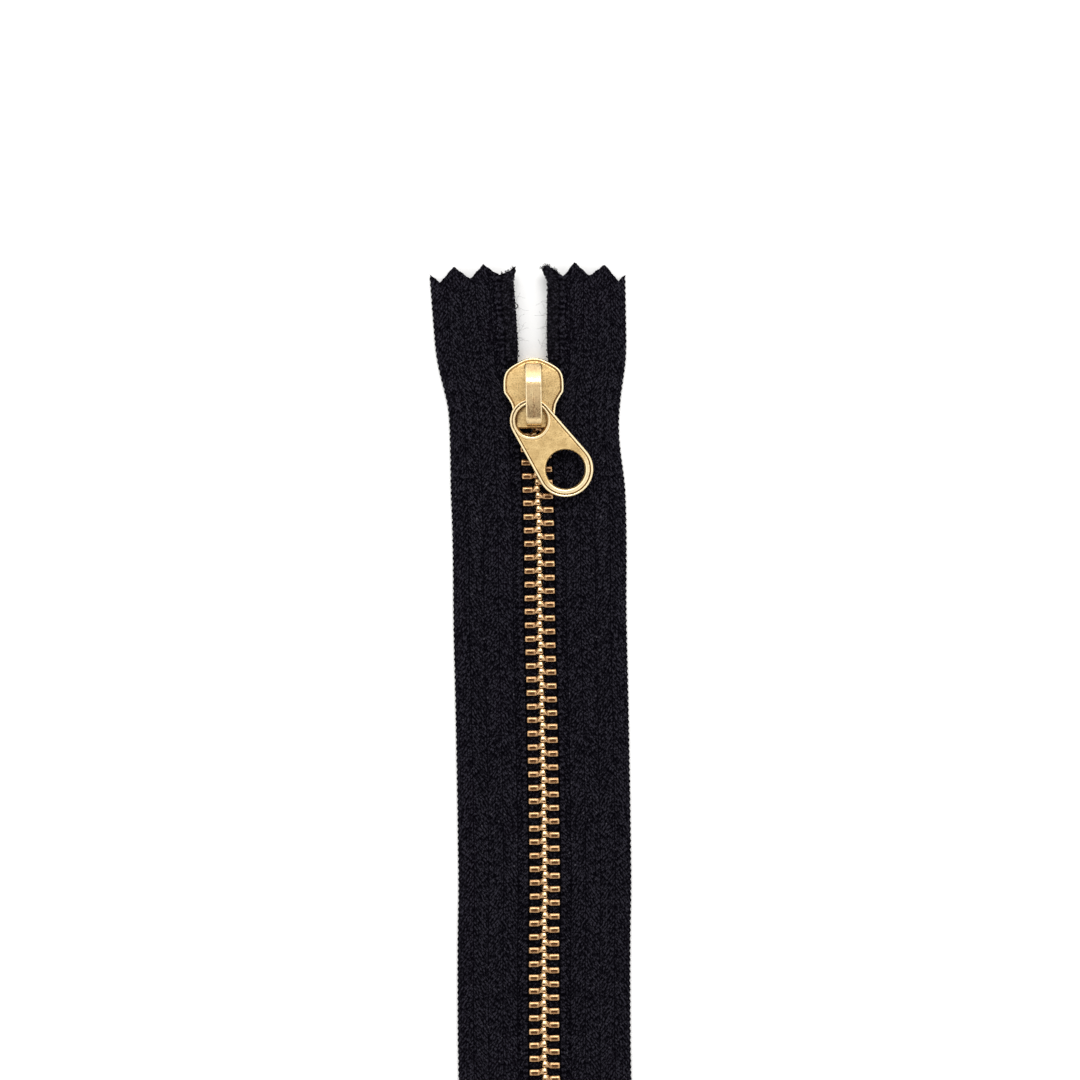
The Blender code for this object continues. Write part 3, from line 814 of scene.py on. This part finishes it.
def make_top_stops(mat):
    half = STOP_LINE + STOP_CAVITY
    outline = np.array(half + tuple((u, -z) for u, z in reversed(half)))
    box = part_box("left_top_stop")
    low, high = box[0].y / MM + 1.15, box[1].y / MM - 0.15
    rows = np.linspace(low, high, 12)
    inset = 0.14 * np.clip(1 - np.minimum(rows - rows[0], rows[-1] - rows) / 0.25, 0, 1) ** 2
    middle = outline.mean(axis=0)
    for side, word in SIDES:
        points = []
        for y, less in zip(rows, inset):
            pulled = outline - less * np.sign(outline - middle) * (np.abs(outline[:, 1:]) > 0.82)
            u, z = pulled.T
            points.append(by_row(side, y, float(row_angle(y)), u, 0 * u, CHAIN_MID_Z + z))
        faces = capped(len(rows), len(outline), fill(outline))
        points = np.concatenate(points)
        stop = piece(f"{word}_clamped_top_stop", points, faces, mat, 45, recess=np.zeros(len(points)))
        dress(stop, "tooth_brass", f"{word}_top_stop")
        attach(stop, f"{word}_stringer")


def make_bottom_staple(mat):
    """One brass staple folded round both cords, dimpled where it was pressed shut."""
    low, high = (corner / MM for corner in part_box("bottom_stop"))
    middle, half = (low + high) / 2, (high - low) / 2
    rows = np.linspace(-1, 1, 27)
    turns = np.linspace(0, 2 * np.pi, 72, endpoint=False)
    points, recess = [], []
    for t in rows:
        ease = STAPLE_EDGE * (1 - dome(max(0.0, (abs(t) - 0.86) / 0.14)))
        x = (half.x - ease) * squared(np.cos(turns), 0.32)
        z = (half.z - ease) * squared(np.sin(turns), 0.42)
        press = bump((np.abs(x) - 1.45) / 0.42) * bump(t / 0.4)
        fold = bump(x / 0.3) * (1 - t**4)
        z = z - np.sign(z) * (0.2 * press + 0.16 * fold) * (np.abs(z) > 0.5)
        points.append(np.column_stack([middle.x + x, np.full(len(x), middle.y + half.y * t), middle.z + z]))
        # Brown patina and painted shade: darker in the pressed dimples and along the fold.
        recess.append(np.clip(0.8 * press + 0.55 * fold, 0, 1))
    faces = capped(len(rows), len(turns))
    staple = piece("bottom_staple", np.concatenate(points), faces, mat, 50, recess=np.concatenate(recess))
    dress(staple, "tooth_brass", "bottom_stop")
    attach(staple, "bottom_end")


def eased_copy(node, name, mat, width, slot, body):
    """A CAD solid's shape again, with its hard edges rounded over."""
    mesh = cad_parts[node].data.copy()
    work = bmesh.new()
    work.from_mesh(mesh)
    bmesh.ops.remove_doubles(work, verts=work.verts, dist=1e-7)
    bmesh.ops.dissolve_limit(work, angle_limit=math.radians(1), verts=work.verts, edges=work.edges)
    edges = [e for e in work.edges if len(e.link_faces) == 2 and e.calc_face_angle() > math.radians(20)]
    bmesh.ops.bevel(
        work, geom=edges, offset=width * MM, segments=3, profile=0.5, affect="EDGES", clamp_overlap=True
    )
    work.to_mesh(mesh)
    work.free()
    layer = mesh.attributes.new("recess", "FLOAT", "POINT")
    layer.data.foreach_set("value", np.zeros(len(mesh.vertices), np.float32))
    finish_mesh(mesh, mat, 35)
    obj = linked(name, mesh)
    dress(obj, slot, node)
    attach(obj, body)


# Slider body: two plates joined by a post, with rails along their flanks

TOP_FACE = 4.55
CHANNEL_TOP = 3.6
PLATE_THICK = 0.95
RAIL_DEPTH = 0.85
RAIL_INSET = 0.85
PLATE_POINTS = 180
POST_POINTS = 40
NOSE = ((1.4, 6.55), (2.75, 5.95), (4.45, 4.95))
FLANK = ((5.27, 4.05), (5.67, 2.7), (5.67, 0.2), (5.25, -0.3), (4.5, -1.5), (4.1, -2.4), (3.95, -3.8))
POST_HALF = ((0.0, 1.7), (0.3, 3.2), (0.85, 4.7), (0.85, 5.9), (0.0, 6.3))
WINDOW = ((-1.25, -4.5), (-0.48, -4.5), (-0.48, -3.4), (-1.25, -3.4))
NOTCH = ((1.47, 4.6), (1.7, 4.6), (1.7, 5.38), (1.47, 5.38))  # a slot beside the foot of the crown

# In from the outline and down from the face: rim, groove and the start of the face
RIM = ((0.0, 0.6), (0.0, 0.42), (0.04, 0.26), (0.11, 0.13), (0.2, 0.04), (0.28, 0.0), (0.36, 0.02),
       (0.42, 0.09), (0.47, 0.19), (0.53, 0.26), (0.61, 0.26), (0.69, 0.19), (0.76, 0.13), (0.84, 0.11))
FACE_DULL = 0.22
RIM_TOP = 0.4  # the width of the rim that is polished, and lightened as a painted highlight


def plate_line():
    tail = ((3.95, SLIDER_TAIL + 0.4), (3.6, SLIDER_TAIL))
    half = ((0.0, SLIDER_NOSE + 0.05),) + NOSE + FLANK + tail
    line = half + tuple((-x, y) for x, y in reversed(half[1:]))
    return resampled(rounded(line, 3), PLATE_POINTS)


def rail_share(line):
    """1 along the flanks that carry a rail, 0 across the open nose and tail."""
    y = line[:, 1]
    return smooth((3.6 - y) / 0.6) * smooth((y - SLIDER_TAIL - 0.05) / 0.3)


def plate(line, flip, rim, holes=()):
    """One plate with its rails: points, faces, recess and polish. flip turns it upside down."""
    normals = inward(line)
    count = len(line)
    rings, recess, polish = [], [], []

    def add(inset, height, stain_and_shade, polished):
        rings.append(np.column_stack([line + inset * normals, np.broadcast_to(height, count)]))
        recess.append(np.broadcast_to(stain_and_shade, count))
        polish.append(np.broadcast_to(polished, count))

    under = CHANNEL_TOP - RAIL_DEPTH * rail_share(line)
    flank = ((RAIL_INSET + 0.05, CHANNEL_TOP), (RAIL_INSET, under + 0.05), (RAIL_INSET - 0.1, under),
             (0.1, under), (0.0, under + 0.1))
    # The rails and the plate's edge below the rim are painted darker, as shade.
    for inset, height in flank:
        add(inset, height, 0.35, 0.0)
    x, y = line.T
    rimmed = smooth((y - SLIDER_TAIL - 0.5) / 0.7)
    # Painted shade in the groove inside the rim, lighter toward the nose and on the left half, where the
    # light falls.
    painted_shade_share = (1 - 0.55 * smooth((y - 4.2) / 1.2)) * (0.6 + 0.4 * smooth(x / 3 + 0.5))
    for inset, depth in rim:
        if inset > 0.25:
            depth = depth * rimmed + rim[-1][1] * (1 - rimmed)
        # The face is duller than the rim, and painted darker toward its right half as shade.
        face = FACE_DULL * (inset > 0.7) * (1 + 0.5 * smooth(x / 2))
        groove = rimmed * painted_shade_share * np.clip((depth - 0.11) / 0.1, 0, 1) * (inset > 0.45)
        add(inset, TOP_FACE - depth, np.maximum(face, groove), rimmed * (inset < RIM_TOP))
    total = len(rings) * count
    points = list(np.concatenate(rings))
    faces = loop_faces(len(rings), count)
    for base, loop, height in ((0, rings[0], CHANNEL_TOP), (total - count, rings[-1], TOP_FACE - rim[-1][1])):
        start = len(points)
        where = [*range(base, base + count), *range(start, start + 4 * len(holes))]
        points += [np.array((x, y, height)) for hole in holes for x, y in hole]
        faces += [tuple(where[k] for k in tri) for tri in fill(loop[:, :2], *holes)]
    for n in range(len(holes)):
        low, high = total + 4 * n, total + 4 * (len(holes) + n)
        for k in range(4):
            after = (k + 1) % 4
            faces.append((low + k, low + after, high + after, high + k))
    points = np.array(points)
    spare = np.zeros(len(points) - total)
    if flip:
        points[:, 2] = TOP_FACE - points[:, 2]
    return points, faces, np.concatenate([*recess, spare + FACE_DULL]), np.concatenate([*polish, spare])


def make_slider_body(mat):
    line = plate_line()
    upper = plate(line, False, RIM, [WINDOW, NOTCH, tuple((-x, y) for x, y in NOTCH)])
    plain = [(inset, depth) for inset, depth in RIM if inset < 0.3] + [(0.8, 0.0)]
    lower = plate(line, True, plain)
    mirrored = tuple((-x, y) for x, y in reversed(POST_HALF[1:-1]))
    post_line = resampled(rounded(POST_HALF + mirrored, 2), POST_POINTS)
    normals = inward(post_line, 3)
    flared = ((0.25, PLATE_THICK - 0.2), (0.0, PLATE_THICK), (0.0, CHANNEL_TOP), (0.25, CHANNEL_TOP + 0.2))
    rings = [np.column_stack([post_line - out * normals, np.full(POST_POINTS, z)]) for out, z in flared]
    post = np.concatenate(rings)
    points, faces = gathered([upper[:2], lower[:2], (post, capped(len(flared), POST_POINTS))])
    # The post between the plates is painted darker, as shade.
    recess = np.concatenate([upper[2], lower[2], 0.4 * np.ones(len(post))])
    polish = np.concatenate([upper[3], 0.5 * lower[3], np.zeros(len(post))])
    points[:, 1] += SLIDER_Y
    body = piece("slider_die_cast_body", points, faces, mat, 32, recess=recess, polish=polish)
    dress(body, "slider_gilt", "slider_body")
    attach(body, "slider")


# Crown: a strap that rises from the nose, runs level over the pull and folds down at the tail

CROWN_OUTER = ((5.75, 4.2), (5.65, 5.25), (4.3, 6.55), (3.1, 7.4), (2.25, 7.87), (1.75, 7.99), (1.1, 8.07),
               (0.2, 8.1), (-2.2, 8.06), (-4.4, 7.97), (-5.3, 7.65), (-6.0, 7.0), (-6.2, 6.1), (-6.15, 4.4))
CROWN_INNER = ((4.75, 4.2), (4.7, 5.15), (3.6, 6.2), (2.5, 7.15), (2.05, 7.5), (0.9, 7.5), (-2.0, 7.5),
               (-4.1, 7.5), (-4.75, 7.2), (-5.3, 6.75), (-5.5, 6.1), (-5.5, 4.4))
CROWN_SAMPLES = 400
CROWN_STATIONS = 110
CROWN_HALF_WIDTH = 1.5
CROWN_EDGE = 0.22


def crown_relief(x, y):
    """How far the strap's face sinks at x across it and y along the slider, and how dark it is painted:
    painted shade toward its lower end and in its crease and lines.
    """
    panel = smooth((y + 4.75) / 0.12) * smooth((0.9 - y) / 1.6) * smooth((1.28 - abs(x)) / 0.1)
    crease = bump(x / 0.085) * smooth((y + 4.7) / 0.2) * smooth((0.8 - y) / 1.2)
    end_edge = bump((y + 4.72) / 0.09) * smooth((1.35 - abs(x)) / 0.1)
    side_line = bump((abs(x) - 1.24) / 0.06) * smooth((y + 4.7) / 0.2) * smooth((0.5 - y) / 1.0)
    sunk = 0.05 * panel + 0.1 * crease + 0.07 * end_edge + 0.05 * side_line
    # Painted shade: the strap is painted darker toward its lower end, and in its crease, end line and side
    # lines.
    painted_shade_share = 0.06 + 0.56 * smooth((0.9 - y) / 4.6)
    return sunk, np.clip(painted_shade_share * panel + 0.5 * crease + 0.35 * end_edge + 0.4 * side_line, 0, 1)


def make_crown(mat):
    pick = np.linspace(0, CROWN_SAMPLES - 1, CROWN_STATIONS).astype(int)
    curves = (rounded(line, 3, closed=False) for line in (CROWN_OUTER, CROWN_INNER))
    outer, inner = (resampled(curve, CROWN_SAMPLES, closed=False)[pick] for curve in curves)
    edge = CROWN_HALF_WIDTH - CROWN_EDGE
    corner = np.radians(np.linspace(0, 90, 5))
    flat = (-1.24, -1.1, -0.8, -0.4, -0.2, -0.1, 0.0, 0.1, 0.2, 0.4, 0.8, 1.1, 1.24)
    right = [(edge + CROWN_EDGE * math.cos(a), CROWN_EDGE * (1 - math.sin(a))) for a in corner]
    top = [(-x, d) for x, d in right] + [(x, 0.0) for x in flat] + right[::-1]
    rows = []
    for o, i in zip(outer, inner):
        # Painted shade: the upper part of the strap is darkened, less on its slope, so that only a thin
        # highlight shows at its bend.
        painted_dimming = float(0.36 * smooth((o[0] - 0.8) / 0.35) - 0.16 * smooth((o[0] - 2.3) / 0.5))
        out = (o - i) / np.linalg.norm(o - i)
        taper = 1 - 0.05 * smooth((-5.2 - o[0]) / 0.8) + 0.03 * smooth((o[0] - 1.0) / 3)
        for x, down in top:
            sunk, stain = crown_relief(x, o[0]) if abs(x) < 1.3 and o[1] > 7.2 else (0.0, 0.0)
            place = o - out * (down + sunk + 0.03 * (x / CROWN_HALF_WIDTH) ** 2)
            # Painted highlight: the edges of the strap's lower part are lightened.
            rubbed_glint = 0.6 * (abs(x) > 1.26) * float(smooth((o[0] + 4.6) / 1.0))
            rows.append((x * taper, *place, max(stain, painted_dimming), rubbed_glint))
        # The strap's underside is painted darker, as shade.
        for x in (CROWN_HALF_WIDTH, 1.0, -1.0, -CROWN_HALF_WIDTH):
            rows.append((x * taper, *i, 0.5, 0.0))
    rows = np.array(rows) + (0, SLIDER_Y, 0, 0, 0)
    faces = capped(CROWN_STATIONS, len(top) + 4)
    crown = piece("slider_folded_crown", rows[:, :3], faces, mat, 40, recess=rows[:, 3], polish=rows[:, 4])
    dress(crown, "slider_gilt", "slider_crown")
    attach(crown, "slider")


# Pull tab: a ring for the crown and a wider finger hole, with a rolled rim round both

PULL_HINGE_Y = -1.72
PULL_HINGE_Z = 5.53
PULL_HALF_THICK = 0.575
PULL_DROOP = math.radians(4.8)
RING_CENTRE = np.array((-0.5, -5.13))
RING_HOLE_R = 2.85
RING_R = 4.05
FINGER_CENTRE = np.array((5.66, -14.33))
FINGER_HOLE_R = 3.7
FINGER_R = 5.22
PULL_GAP = FINGER_CENTRE - RING_CENTRE
PULL_LENGTH = np.linalg.norm(PULL_GAP)
PULL_AHEAD = PULL_GAP / PULL_LENGTH
PULL_TAPER = (FINGER_R - RING_R) / PULL_LENGTH  # the sine of each flank's angle to the middle line
FACE_SINK = 0.16
GROOVE_DEPTH = 0.12
RIM_AT = 0.26
RIM_HALF = 0.2
WALL_BULGE = 0.06  # how far the walls of both holes swell at the middle of the metal
PULL_SPACING = 0.12
PULL_CELL = 0.035  # points of the tab's mesh stand at least about this far apart


def arc(centre, radius, start, end, count):
    turns = np.radians(np.linspace(start, end, count))
    return np.stack([centre[0] + radius * np.cos(turns), centre[1] + radius * np.sin(turns)], axis=1)


def circle(centre, radius, count):
    return arc(centre, radius, 0, 360, count + 1)[:-1]


def pull_line(inset):
    """The line round both ends, moved in by inset."""
    heading = math.degrees(math.atan2(PULL_GAP[1], PULL_GAP[0]))
    square = 90 + math.degrees(math.asin(PULL_TAPER))
    ring = arc(RING_CENTRE, RING_R - inset, heading + square, heading + 360 - square, 60)
    finger = arc(FINGER_CENTRE, FINGER_R - inset, heading - square, heading + square, 80)
    line = np.concatenate([ring, finger])
    length = np.linalg.norm(np.diff(np.concatenate([line, line[:1]]), axis=0), axis=1).sum()
    return resampled(line, int(length / PULL_SPACING))


def reach(p, centre):
    """How far a point is from centre."""
    return np.linalg.norm(p - centre, axis=-1)


def pull_inset(p):
    """How far a point is inside the outer line."""
    along = (p - RING_CENTRE) @ PULL_AHEAD
    off = np.abs((p - RING_CENTRE) @ np.array((-PULL_AHEAD[1], PULL_AHEAD[0])))
    cosine = math.sqrt(1 - PULL_TAPER * PULL_TAPER)
    straight = (RING_R / cosine + along * PULL_TAPER / cosine - off) * cosine
    near = RING_R - reach(p, RING_CENTRE)
    far = FINGER_R - reach(p, FINGER_CENTRE)
    turned = along + off * PULL_TAPER / cosine
    return np.where(turned < 0, near, np.where(turned > PULL_LENGTH, far, straight))


def on_tab(p, edge, hole):
    """True where a point is inside the outer line and outside both holes, by the given distances."""
    clear = pull_inset(p) > edge
    clear &= reach(p, RING_CENTRE) > RING_HOLE_R + hole
    return clear & (reach(p, FINGER_CENTRE) > FINGER_HOLE_R + hole)


def pull_relief(p):
    """Height of the tab's face above its middle plane at points p; how dark it is painted, as painted shade
    in the grooves and on the ring hole's wall; and how light, on polished rims and lips whose colour is also
    a painted highlight.
    """
    inset = pull_inset(p)
    ring = reach(p, RING_CENTRE) - RING_HOLE_R
    finger = reach(p, FINGER_CENTRE) - FINGER_HOLE_R
    past = smooth(((p - FINGER_CENTRE) @ PULL_AHEAD + 0.6) / 2.6)
    back = smooth(-((p - RING_CENTRE) @ PULL_AHEAD) / 1.2)
    rim = np.where(inset < RIM_AT, 1.0, dome((inset - RIM_AT) / RIM_HALF))
    groove = bump((inset - RIM_AT - RIM_HALF - 0.05) / 0.1)
    lip = dome((ring - 0.46) / 0.3)
    finger_lip = past * dome((finger - 0.5) / 0.42)
    lip_groove = bump((ring - 0.8) / 0.1) * (0.45 + 0.55 * back)
    finger_groove = past * bump((finger - 0.98) / 0.1)
    z = PULL_HALF_THICK - FACE_SINK
    z = z + FACE_SINK * np.maximum(rim, np.maximum(1.15 * lip, 0.9 * finger_lip))
    grooves = np.maximum(groove, np.maximum(0.8 * lip_groove, finger_groove))
    z = z - GROOVE_DEPTH * grooves
    for distance, width, fall in ((inset, 0.24, 0.26), (ring, 0.2, 0.26), (finger, 0.32, 0.28)):
        z = z - fall * np.clip(1 - distance / width, 0, 1) ** 2
    # Polished rims and lips, whose colour is also lightened as a painted highlight.
    shine = np.maximum(rim * (inset > 0.06), np.maximum(0.75 * lip, finger_lip))
    # Painted shade: darker in the grooves and on the ring hole's wall, more at the back of the ring.
    stain = np.maximum(grooves, (0.4 + 0.35 * back) * smooth((0.34 - ring) / 0.18))
    return z, np.clip(stain, 0, 1), np.clip(shine, 0, 1)


def pull_points():
    """The edge loops, then rows along each edge and a looser grid between, and the loops' sizes."""
    loops = [pull_line(0.0), circle(RING_CENTRE, RING_HOLE_R, 150), circle(FINGER_CENTRE, FINGER_HOLE_R, 190)]
    rows = [pull_line(inset) for inset in (0.05, 0.12, 0.2, 0.28, 0.36, 0.42, 0.47, 0.53, 0.6, 0.7)]
    for grow in (0.06, 0.12, 0.22, 0.36, 0.5, 0.62, 0.7, 0.78, 0.86, 0.95):
        rows.append(circle(RING_CENTRE, RING_HOLE_R + grow, 170))
    for grow in (0.08, 0.16, 0.3, 0.48, 0.66, 0.8, 0.89, 0.98, 1.07):
        rows.append(circle(FINGER_CENTRE, FINGER_HOLE_R + grow, 210))
    spans = [np.arange(low, high, 0.3) for low, high in zip(loops[0].min(axis=0), loops[0].max(axis=0))]
    rows.append(np.stack(np.meshgrid(*spans), axis=-1).reshape(-1, 2))
    kept = list(np.concatenate(loops))
    taken = {(int(x // PULL_CELL), int(y // PULL_CELL)) for x, y in kept}
    for row in rows:
        for x, y in row[on_tab(row, 0.03, 0.03)]:
            cell = (int(x // PULL_CELL), int(y // PULL_CELL))
            around = {(cell[0] + i, cell[1] + j) for i in (-1, 0, 1) for j in (-1, 0, 1)}
            if not around & taken:
                taken.add(cell)
                kept.append((x, y))
    return np.array(kept), [len(loop) for loop in loops]


def make_pull(mat):
    flat, sizes = pull_points()
    edges, loops = [], []
    for size in sizes:
        start = sum(map(len, loops))
        loops.append(list(range(start, start + size)))
        edges += zip(loops[-1], loops[-1][1:] + loops[-1][:1])
    triangles = delaunay_2d_cdt([Vector(p) for p in flat], edges, [], 0, 1e-6)[2]
    centres = np.array([flat[list(tri)].mean(axis=0) for tri in triangles])
    triangles = [tuple(tri) for tri, keep in zip(triangles, on_tab(centres, 0.0, -0.002)) if keep]
    height, stain, shine = pull_relief(flat)
    count = len(flat)
    top = np.column_stack([flat, height])
    under = np.column_stack([flat, -height])
    middle = [np.column_stack([flat[loop], np.zeros(len(loop))]) for loop in loops]
    for ring, centre in ((middle[1], RING_CENTRE), (middle[2], FINGER_CENTRE)):
        away = ring[:, :2] - centre
        ring[:, :2] -= WALL_BULGE * away / np.linalg.norm(away, axis=1)[:, None]
    points = np.concatenate([top, under, *middle])
    faces = triangles + shifted(triangles, count)
    base = 2 * count
    for loop in loops:
        for n, k in enumerate(loop):
            after = loop[(n + 1) % len(loop)]
            mid, mid_after = base + n, base + (n + 1) % len(loop)
            faces.append((k, after, mid_after, mid))
            faces.append((mid, mid_after, count + after, count + k))
        base += len(loop)
    spare = np.zeros(len(points) - 2 * count)
    # The walls of both holes are painted darker, as shade.
    walls = np.where(np.arange(len(spare)) < len(loops[0]), 0.0, 0.55)
    recess, polish = np.concatenate([stain, stain, walls]), np.concatenate([shine, shine, spare])
    hang = np.array(Matrix.Rotation(PULL_DROOP, 3, "X"))
    points = (points - (0, PULL_HINGE_Y, 0)) @ hang.T
    points += (0, PULL_HINGE_Y + SLIDER_Y, PULL_HINGE_Z)
    tab = piece("pull_stamped_tab", points, faces, mat, 40, recess=recess, polish=polish)
    dress(tab, "slider_gilt", "pull_tab")
    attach(tab, "pull")


def gilt_material(name, light, dark, low, high):
    """Satin gilt over die-cast metal: fine tumbled grain; polished high spots, their colour also lightened as
    a painted highlight; hollows and undersides painted brown-dark, partly patina and partly painted shade.
    """
    g = Nodes(bpy.data.materials.new(name))
    place, polish = g.place(), g.attribute("polish")
    cloud = g.noise(place, 0.7, 5.0, 0.65)
    grain = g.noise(place, 3.8, 4.0, 0.8)
    scratch = g.noise(g.place((2.2, 9.0, 2.2)), 1.0, 2.0)
    tone = g.mix(g.ramp(cloud, 0.3, 0.7), dark, light)
    tone = g.mix(g.ramp(grain, 0.5, 0.64, 0.0, 0.9), tone, tuple(0.58 * c for c in dark))
    # Painted highlight: polished places are lightened toward pale gold.
    tone = g.mix(g.times(polish, 0.85), tone, (1.0, 0.86, 0.56))
    # Patina and painted shade: the hollows, grooves and undersides darken toward brown.
    patchy = g.times(g.attribute("recess"), g.ramp(grain, 0.35, 0.62, 0.6, 1.25))
    colour = g.mix(g.ramp(patchy, 0.05, 1.0, 0.0, 0.92), tone, (0.11, 0.052, 0.024))
    roughness = g.times(g.ramp(grain, 0.2, 0.8, low, high), g.ramp(polish, 0.0, 1.0, 1.0, 0.55))
    normal = g.bump(grain, 0.03, 0.8, Normal=g.bump(scratch, 0.012, 0.6))
    return g.finish(Metallic=1.0, Base_Color=colour, Roughness=roughness, Normal=normal)


def steel_material():
    g = Nodes(bpy.data.materials.new("spring_steel_blued"))
    grain = g.noise(g.place((1.5, 10.0, 1.5)), 1.0, 2.0)
    colour = g.mix(g.ramp(grain, 0.3, 0.7), (0.42, 0.41, 0.39), (0.58, 0.57, 0.54))
    roughness = g.ramp(grain, 0.3, 0.7, 0.22, 0.4)
    return g.finish(Metallic=1.0, Base_Color=colour, Roughness=roughness, Normal=g.bump(grain, 0.008))


# Surroundings

FLOOR_HALF = 1.2
TENT = ((0.0, 0.48), (0.35, 0.7), (0.7, 0.82), (0.94, 0.46), (1.0, 0.44))  # height, half the strength


def make_floor():
    g = Nodes(bpy.data.materials.new("pale_paper"))
    colour = g.mix(g.noise(g.place(), 1.2), (0.74, 0.74, 0.745), (0.76, 0.76, 0.76))
    mat = g.finish(Roughness=0.9, Specular_IOR_Level=0.2, Base_Color=colour)
    mesh = bpy.data.meshes.new("floor")
    corners = [(x * FLOOR_HALF, y * FLOOR_HALF, 0) for x, y in ((-1, -1), (1, -1), (1, 1), (-1, 1))]
    mesh.from_pydata(corners, [], [(0, 1, 2, 3)])
    mesh.materials.append(mat)
    floor = linked("floor", mesh)
    floor.location.z = -0.00005


def make_light():
    """A pale tent, brighter overhead and toward the top of the chain, and one soft box."""
    world = bpy.context.scene.world = bpy.data.worlds.new("studio")
    g = Nodes(world)
    way = g.parts(g.node("ShaderNodeTexCoord").outputs["Generated"])
    height = g.node("ShaderNodeValToRGB", way[2])
    steps = height.color_ramp.elements
    height.color_ramp.interpolation = "EASE"
    while len(steps) < len(TENT):
        steps.new(0.5)
    for step, (where, level) in zip(steps, TENT):
        step.position = where
        step.color = (level, level, level, 1.0)
    ahead = g.node("ShaderNodeMapRange", way[1], -1.0, 1.0, 1.5, 2.5)
    background = g.tree.nodes["Background"]
    g.set(background.inputs["Strength"], g.times(height.outputs[0], ahead.outputs[0]))
    background.inputs["Color"].default_value = (1.0, 0.995, 0.985, 1.0)
    lamp = bpy.data.lights.new("soft_box", "AREA")
    lamp.shape = "RECTANGLE"
    lamp.size = 0.5
    lamp.size_y = 0.22
    lamp.energy = 3.4
    lamp.color = (1.0, 0.99, 0.97)
    box = linked("soft_box", lamp)
    box.location = (0.05, 0.62, 0.5)
    aim = Vector((0, 0.07, 0)) - box.location
    box.rotation_euler = aim.to_track_quat("-Z", "Y").to_euler()


def make_camera():
    camera = bpy.data.cameras.new("camera")
    camera.lens = 100
    camera.sensor_width = 36
    holder = linked("camera", camera)
    holder.location = (0.00069, 0.05581, 0.5654)
    holder.rotation_euler = (0, 0, -0.018)
    bpy.context.scene.camera = holder
    bpy.context.scene.view_settings.view_transform = "Standard"


def main():
    fabric, wound, brass = fabric_material(), bead_material(), brass_material()
    face_gilt = gilt_material("satin_gilt", (0.86, 0.62, 0.29), (0.62, 0.42, 0.18), 0.28, 0.5)
    crown_gilt = gilt_material("crown_gilt", (0.8, 0.61, 0.33), (0.68, 0.475, 0.25), 0.22, 0.36)
    steel = steel_material()
    for side, word in SIDES:
        make_tape(side, word, fabric)
        make_bead(side, word, wound)
        make_fibres(side, word, wound)
    make_teeth(brass)
    make_top_stops(brass)
    make_bottom_staple(brass)
    eased_copy("lock_spring", "lock_leaf_spring", steel, 0.04, "spring_steel", "lock")
    make_slider_body(face_gilt)
    make_crown(crown_gilt)
    make_pull(face_gilt)
    make_floor()
    make_light()
    make_camera()


main()
